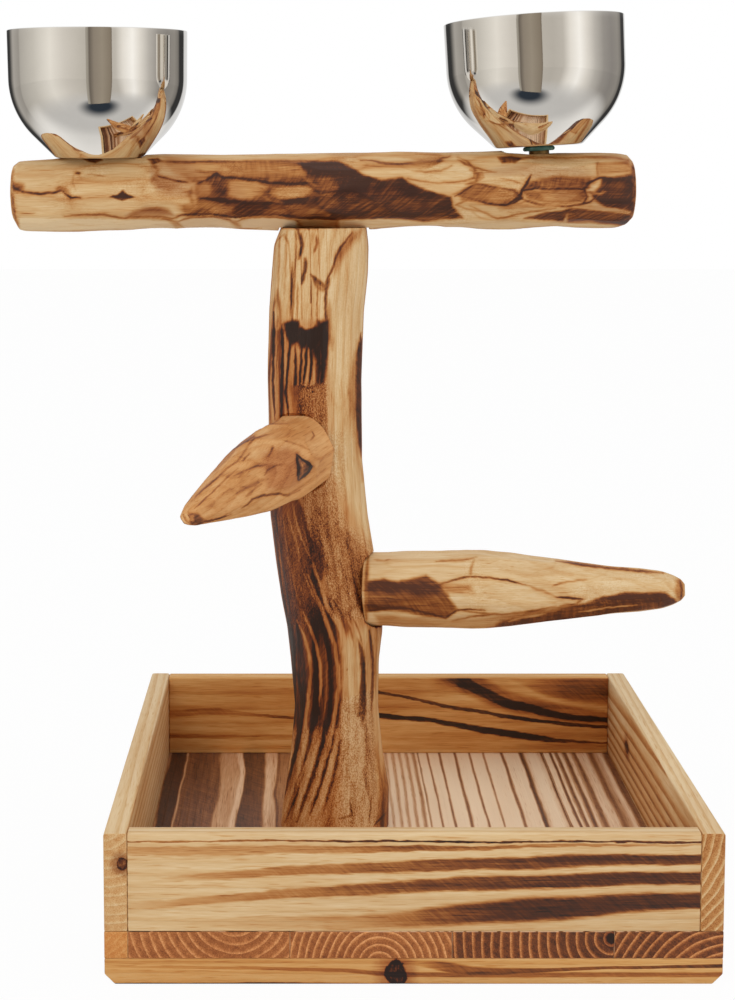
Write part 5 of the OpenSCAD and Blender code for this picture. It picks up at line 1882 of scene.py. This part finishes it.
STAVE_1 = stave(
    1, Tone.STRAW, (-150.0, 60.0), ((-118, 0.3), (-107, 0.4)), (-118.4, -106.8), pitch=0.0030, end_base=0.27,
    end_rings=-0.08)
STAVE_2 = stave(
    2, Tone.DUSKY, (-55.0, 36.0),
    ((-106.8, 0.45), (-105.4, 0.90), (-97.0, 0.92), (-95.6, 0.32), (-94.2, 0.70), (-86.0, 0.78),
     (-74.5, 0.72), (-72.0, 0.40), (-63.0, 0.34), (-61.4, 0.16), (-59.2, 0.20), (-57.6, 0.84), (-46.0, 0.74),
     (-43.8, 0.24), (-39.0, 0.26), (-37.4, 0.74), (-36.2, 0.54), (-30.0, 0.58), (-28.4, 0.8)),
    (-106.85, -28.35), pitch=0.0043, end_base=0.50, end_rings=-0.22, stripe_sway=0.005)
STAVE_3 = stave(
    3, Tone.DUSKY, (15.0, 9.0),
    ((-28.3, 0.7), (-24.0, 0.3), (-10.0, 0.5), (10.0, 0.3), (19.0, 0.18), (21.0, 0.40), (23.0, 0.16),
     (25.0, 0.42), (27.0, 0.16), (29.4, 0.44), (31.4, 0.18), (34.0, 0.46), (36.0, 0.18), (38.4, 0.48),
     (40.4, 0.18), (43.0, 0.50), (44.8, 0.20), (47.4, 0.54), (49.2, 0.24), (50.1, 0.5)),
    (-28.35, 50.15), pitch=0.0037, end_base=0.54, end_rings=-0.30, floor_lift=-0.44, floor_gain=1.6)
STAVE_4 = stave(
    4, Tone.DUSKY, (127.2, 23.0),
    ((50.2, 0.5), (51.6, 0.14), (55.2, 0.14), (56.4, 0.58), (57.8, 0.16), (62.2, 0.16), (63.6, 0.60),
     (65.2, 0.18), (71.4, 0.14), (73.2, 0.62), (75.0, 0.20), (81.2, 0.16), (82.8, 0.58), (84.0, 0.16),
     (90.0, 0.16), (91.4, 0.52), (92.6, 0.16), (101.2, 0.16), (103.0, 0.62), (104.8, 0.22), (112.6, 0.18),
     (114.8, 0.74), (117.6, 0.30), (122.0, 0.14), (126.6, 0.30), (128.6, 0.7)),
    (50.15, 128.65), pitch=0.0045, end_base=0.76, end_rings=-0.42, floor_lift=-0.36, floor_gain=1.6,
    knots=(Knot((127.0, -132.5, 23.0), (2.2, 6.0, 2.8), 0.9),))
STAVE_5 = stave(
    5, Tone.DUSKY, (187.0, -14.0),
    ((128.7, 0.60), (130.0, 0.20), (132.4, 0.22), (134.0, 0.66), (135.4, 0.20), (138.0, 0.60), (139.6, 0.22),
     (143.0, 0.62), (144.8, 0.24), (149.0, 0.58), (151.0, 0.26), (155.0, 0.24), (159.0, 0.58), (162.0, 0.40),
     (165.0, 0.22), (168.0, 0.62), (174.0, 0.46), (181.6, 0.5)),
    (128.65, 181.65), pitch=0.0044, end_base=0.74, end_rings=-0.42, floor_lift=-0.32,
    floor_gain=1.6)
FRONT_RAIL = BoardFinish(
    "front_rail_pine", Tone.HONEY, Grain.SIDEWAYS, (-140.0, 40.0), pitch=0.0052, rings=0.08, base=0.10,
    patchy=0.14, streak=0.15, band_box=(-118.0, 181.0, 0.0, 13.0),
    bands=(((-118, 0.0, 0.6, 0.9), (-60, -0.2, 0.9, 0.9), (0, -0.4, 0.8, 0.5), (180, -0.6, 0.4, 0.4)),
           ((-118, 9.0, 0.6, 0.10), (-40, 8.0, 0.8, 0.30), (0, 7.0, 1.0, 0.34), (24, 5.0, 1.2, 0.4)),
           ((30, 11.0, 1.0, 0.1), (46, 9.0, 2.4, 0.44), (60, 6.6, 2.4, 0.54), (90, 7.0, 1.2, 0.6),
            (120, 8.2, 0.8, 0.62), (150, 8.8, 0.8, 0.66), (181, 9.4, 0.9, 0.74))),
    knots=(Knot((23.0, -132.5, 5.6), (5.4, 30.0, 6.6), 1.0, "#B4542C"),))
BACK_RAIL = BoardFinish(
    "back_rail_pine", Tone.HONEY, Grain.SIDEWAYS, (140.0, 30.0), pitch=0.0044, rings=0.3,
    base=0.14)


TRUNK_RINGS = (
    (0.000, 0.158, 1.21, 1.16), (0.024, 0.166, 1.20, 1.14), (0.065, 0.190, 1.16, 1.10),
    (0.128, 0.184, 1.03, 1.02), (0.205, 0.180, 0.93, 0.95), (0.285, 0.156, 0.99, 0.97),
    (0.335, 0.158, 1.07, 1.01), (0.390, 0.118, 1.13, 1.05), (0.446, 0.058, 1.12, 1.06),
    (0.525, -0.018, 1.10, 1.06), (0.620, -0.062, 1.06, 1.04), (0.750, -0.070, 1.06, 1.04),
    (0.865, -0.048, 1.07, 1.03), (0.930, -0.008, 1.08, 1.02), (0.972, 0.004, 1.06, 1.00),
    (1.000, 0.030, 0.96, 0.96),
)
PERCH_RINGS = (
    (0.000, -0.010, 0.74), (0.008, -0.046, 0.91), (0.018, -0.049, 0.93), (0.066, -0.041, 0.97),
    (0.100, -0.017, 1.02), (0.175, 0.005, 1.03), (0.205, 0.000, 1.01), (0.240, 0.010, 1.02),
    (0.335, 0.012, 0.985), (0.430, 0.002, 1.02), (0.500, 0.005, 1.03), (0.620, 0.029, 1.04),
    (0.690, 0.037, 0.995), (0.755, 0.024, 1.045), (0.815, 0.037, 1.06), (0.880, 0.032, 0.975),
    (0.945, 0.024, 1.00), (0.976, 0.024, 0.995), (0.991, 0.034, 0.94), (1.000, 0.029, 0.78),
)
RIGHT_RINGS = (
    (0.00, 1.00), (0.06, 1.00), (0.12, 1.03), (0.22, 1.03), (0.33, 1.05), (0.375, 1.045), (0.45, 0.99),
    (0.53, 0.90), (0.60, 0.83), (0.71, 0.72), (0.78, 0.64), (0.86, 0.59), (0.93, 0.50), (0.965, 0.39),
    (0.988, 0.28), (1.00, 0.15),
)
FRONT_RINGS = (
    (0.00, 1.00), (0.08, 1.00), (0.18, 1.02), (0.30, 0.98), (0.45, 0.86), (0.60, 0.69), (0.75, 0.51),
    (0.88, 0.35), (0.955, 0.26), (0.985, 0.19), (1.00, 0.11),
)
RIGHTWARD, BACKWARD, UPWARD = Vector((1, 0, 0)), Vector((0, 1, 0)), Vector((0, 0, 1))
LEFT_AXIS = (0.0, -0.0314108, 0.9995066)
RIGHT_AXIS = (-0.0558215, 0.0, 0.9984408)
LEFT_SEAT = (-0.13315, 0.005, 0.4004)
RIGHT_SEAT = (0.10645, 0.005, 0.4024)
RIGHT_BRANCH = Branch((-7.08, 5.0, 161.5), -13.0, 3.0, 171.0, 40.5)
FRONT_BRANCH = Branch((-15.53, 5.0, 243.5), -114.4, -5.4, 128.9, 43.0)
# A picture's pixel at the perch, and where along the perch the picture's centre line is.
PIXEL = 0.537 * MM
PERCH_ZERO = 158.3 * MM
VIEW_CENTRE = 305


def perch_cut(px: float, height: float, length: float, depth: float, slant: float = 0.0) -> Cut:
    """A cut on the perch's front, from where it is seen in the picture.

    Args:
        px: the cut's middle, in the picture's pixels from the left.
        height: how high it lies, from -1 at the perch's bottom to 1 at its top.
        length: its length in the picture's pixels.
        depth: its depth, as a share of the perch's radius.
        slant: how far it turns along its length, in degrees.

    Returns:
        The cut.
    """
    return Cut(PERCH_ZERO + (px - VIEW_CENTRE) * PIXEL, 360.0 - math.degrees(math.acos(height)),
               length * PIXEL, depth, slant)


PERCH_CUTS = tuple(perch_cut(*c) for c in (
    (45, 0.45, 90, 0.050), (112, 0.55, 80, 0.055, 6), (40, -0.30, 80, 0.050), (105, -0.28, 80, 0.050),
    (170, 0.10, 60, 0.060, 8), (190, 0.62, 80, 0.050), (160, -0.50, 60, 0.055), (206, -0.46, 50, 0.060),
    (246, 0.12, 52, 0.080, -6), (293, 0.02, 54, 0.070), (255, 0.64, 90, 0.055), (262, -0.52, 60, 0.060),
    (146, -0.86, 60, 0.060), (203, -0.86, 68, 0.065), (268, -0.86, 68, 0.065), (318, -0.84, 44, 0.060),
    (381, -0.86, 92, 0.060), (80, -0.84, 80, 0.055), (330, 0.30, 60, 0.060, 8), (345, -0.28, 60, 0.065, -8),
    (385, 0.10, 60, 0.060), (420, -0.36, 70, 0.065), (397, 0.84, 96, 0.050), (340, 0.74, 60, 0.050),
    (452, 0.52, 54, 0.065, -6), (490, -0.06, 68, 0.070, 6), (500, 0.66, 70, 0.050), (556, 0.40, 78, 0.070),
    (556, -0.20, 76, 0.070, 5), (612, 0.02, 50, 0.060), (560, 0.84, 110, 0.050), (612, 0.56, 60, 0.055),
    (480, -0.56, 70, 0.060), (545, -0.66, 70, 0.060, -5), (605, -0.55, 70, 0.060), (500, -0.90, 80, 0.050),
    (585, -0.92, 90, 0.050), (96, -0.985, 60, 0.050), (148, -0.985, 56, 0.060), (206, -0.985, 64, 0.060),
    (400, -0.985, 70, 0.055), (470, -0.985, 66, 0.055), (548, -0.985, 74, 0.050),
))


def make_trunk() -> Trunk:
    """The trunk, with its flats, marks and finish."""
    thick = 50 * MM
    length = 336 * MM
    rings = [(s, x * thick, 0.0, w * thick / 2, d * thick / 2) for s, x, w, d in TRUNK_RINGS]
    flats = [branch.flat() for branch in (RIGHT_BRANCH, FRONT_BRANCH)]
    finish = LogFinish("trunk_pine", Tone.STRAW, pith=(0.010, 0.014), pitch=0.0038, rings=0.10,
                       stain="#E2A856")
    return Trunk("hewn_trunk", "trunk", "torched_log", Vector((-12.35, 5.0, 26.5)) * MM,
                 RIGHTWARD, BACKWARD, UPWARD, length, rings, sides=6, twist=27.0, finish=finish,
                 around=204, steps=452, marks=TRUNK_MARKS, back_marks=faded(TRUNK_MARKS, 4.0),
                 cut_length=0.075, cut_depth=(0.03, 0.065), base_burn=0.2, patchy=0.4, banded=0.5,
                 seed=3, flats=flats)


def make_perch() -> TopPerch:
    """The top perch, with its seats, wells, marks and finish."""
    across = 41 * MM
    length = 336 * MM
    rings = [(s, x * across, 0.0, d * across / 2, d * across / 2) for s, x, d in PERCH_RINGS]
    seats = [(LEFT_SEAT, LEFT_AXIS, 25.5 * MM),
             (Vector(LEFT_SEAT) - Vector(LEFT_AXIS) * 2.4 * MM, LEFT_AXIS, 9.25 * MM),
             (RIGHT_SEAT, RIGHT_AXIS, 10 * MM, 0.16)]
    wells = [((-12.35 * MM + side * 12 * MM, 13 * MM, 396 * MM), 5.05 * MM) for side in (-1, 1)]
    finish = LogFinish("perch_pine", Tone.STRAW, pith=(0.004, 0.006), pitch=0.0030, rings=0.06,
                       hatch=0.30, ridge=0.30, char=0.93)
    return TopPerch("hewn_perch", "top_perch", "torched_log", Vector((-179.35, 5.0, 381.5)) * MM,
                    UPWARD, BACKWARD, RIGHTWARD, length, rings, sides=8, twist=101.0, finish=finish,
                    around=184, steps=500, marks=PERCH_MARKS, back_marks=PERCH_MARKS,
                    cuts=PERCH_CUTS, free=(0.0, 188.0), cut_length=0.036, base_burn=0.16, patchy=0.5,
                    halo=0.45, seed=11, seats=seats, wells=wells)


def make_right_branch() -> CarvedLog:
    """The right branch, with its marks and finish."""
    finish = LogFinish("right_branch_pine", Tone.STRAW, pith=(0.003, -0.004), pitch=0.003, rings=0.06,
                       ridge=0.24, char=0.86)
    return RIGHT_BRANCH.log("right_branch", RIGHT_RINGS, finish, sides=8, twist=43.0, steps=300,
                            marks=RIGHT_BRANCH_MARKS, cut_length=0.05, cut_depth=(0.03, 0.07),
                            base_burn=0.10, seed=23)


def make_front_branch() -> CarvedLog:
    """The front branch, with its marks and finish."""
    finish = LogFinish("front_branch_pine", Tone.RUSSET, pith=(0.003, -0.004), pitch=0.003, rings=0.10,
                       ridge=0.24, stain="#BE7448")
    return FRONT_BRANCH.log("front_branch", FRONT_RINGS, finish, sides=7, twist=32.0, steps=240,
                            marks=FRONT_BRANCH_MARKS, cut_length=0.030, cut_depth=(0.05, 0.11),
                            base_burn=0.2, seed=31, front=110.0)


@dataclass
class Tray:
    """The tray: four walls, a floor panel of five staves, and two foot rails."""

    boards: Sequence[Board] = (
        Board("front_wall_board", "front_wall", FRONT_WALL, top_ease=2.2 * MM),
        Board("back_wall_board", "back_wall", BACK_WALL),
        Board("left_wall_board", "left_wall", LEFT_WALL),
        Board("right_wall_board", "right_wall", RIGHT_WALL),
        *(Board(name, f"floor_stave_{k}", finish, ease=0.4 * MM, top_ease=0.0)
          for k, (name, finish) in enumerate((
              ("edge_stave", STAVE_1), ("wide_stave_left", STAVE_2), ("wide_stave_middle", STAVE_3),
              ("wide_stave_right", STAVE_4), ("last_stave", STAVE_5)), 1)),
        Board("front_rail_board", "front_foot_rail", FRONT_RAIL, top_ease=0.0, chamfer=5 * MM),
        Board("back_rail_board", "back_foot_rail", BACK_RAIL, top_ease=0.0, chamfer=5 * MM),
    )

    def build(self, steel: bpy.types.Material) -> None:
        """Builds the boards, and dresses the nails."""
        for board in self.boards:
            board.build()
        for node in ("corner_nails", "floor_nails", "rail_nails"):
            dress(node, steel)


def main() -> None:
    """Builds the stand's pieces in order and sets up the studio."""
    logging.basicConfig(level=logging.INFO, format="%(message)s")
    Effects().build()
    steel = SteelFinish("screw_steel", "#B9B6B1", 0.32, 0.5).material()
    mirror = SteelFinish("cup_mirror", "#F1EEE9", 0.035, 0.02).material()
    brass = SteelFinish("insert_brass", "#7A5F38", 0.4, 0.4).material()
    rubber = SealFinish().material()
    Tray().build(steel)
    for make in (make_trunk, make_perch, make_right_branch, make_front_branch):
        make().build()
    for node in ("trunk_screws", "perch_screws", "right_branch_screw", "front_branch_screw"):
        dress(node, steel)
    for side, seat, axis, base, seal_base, seed in (
            (Side.LEFT, LEFT_SEAT, LEFT_AXIS, 0.0, -2.4 * MM, 5),
            (Side.RIGHT, RIGHT_SEAT, RIGHT_AXIS, 4.1 * MM, 1.7 * MM, 6)):
        CupStation(side, seat, axis, base, seal_base, seed, mirror, steel, rubber, brass).build()
    Studio().build()


if __name__ == "__main__":
    main()
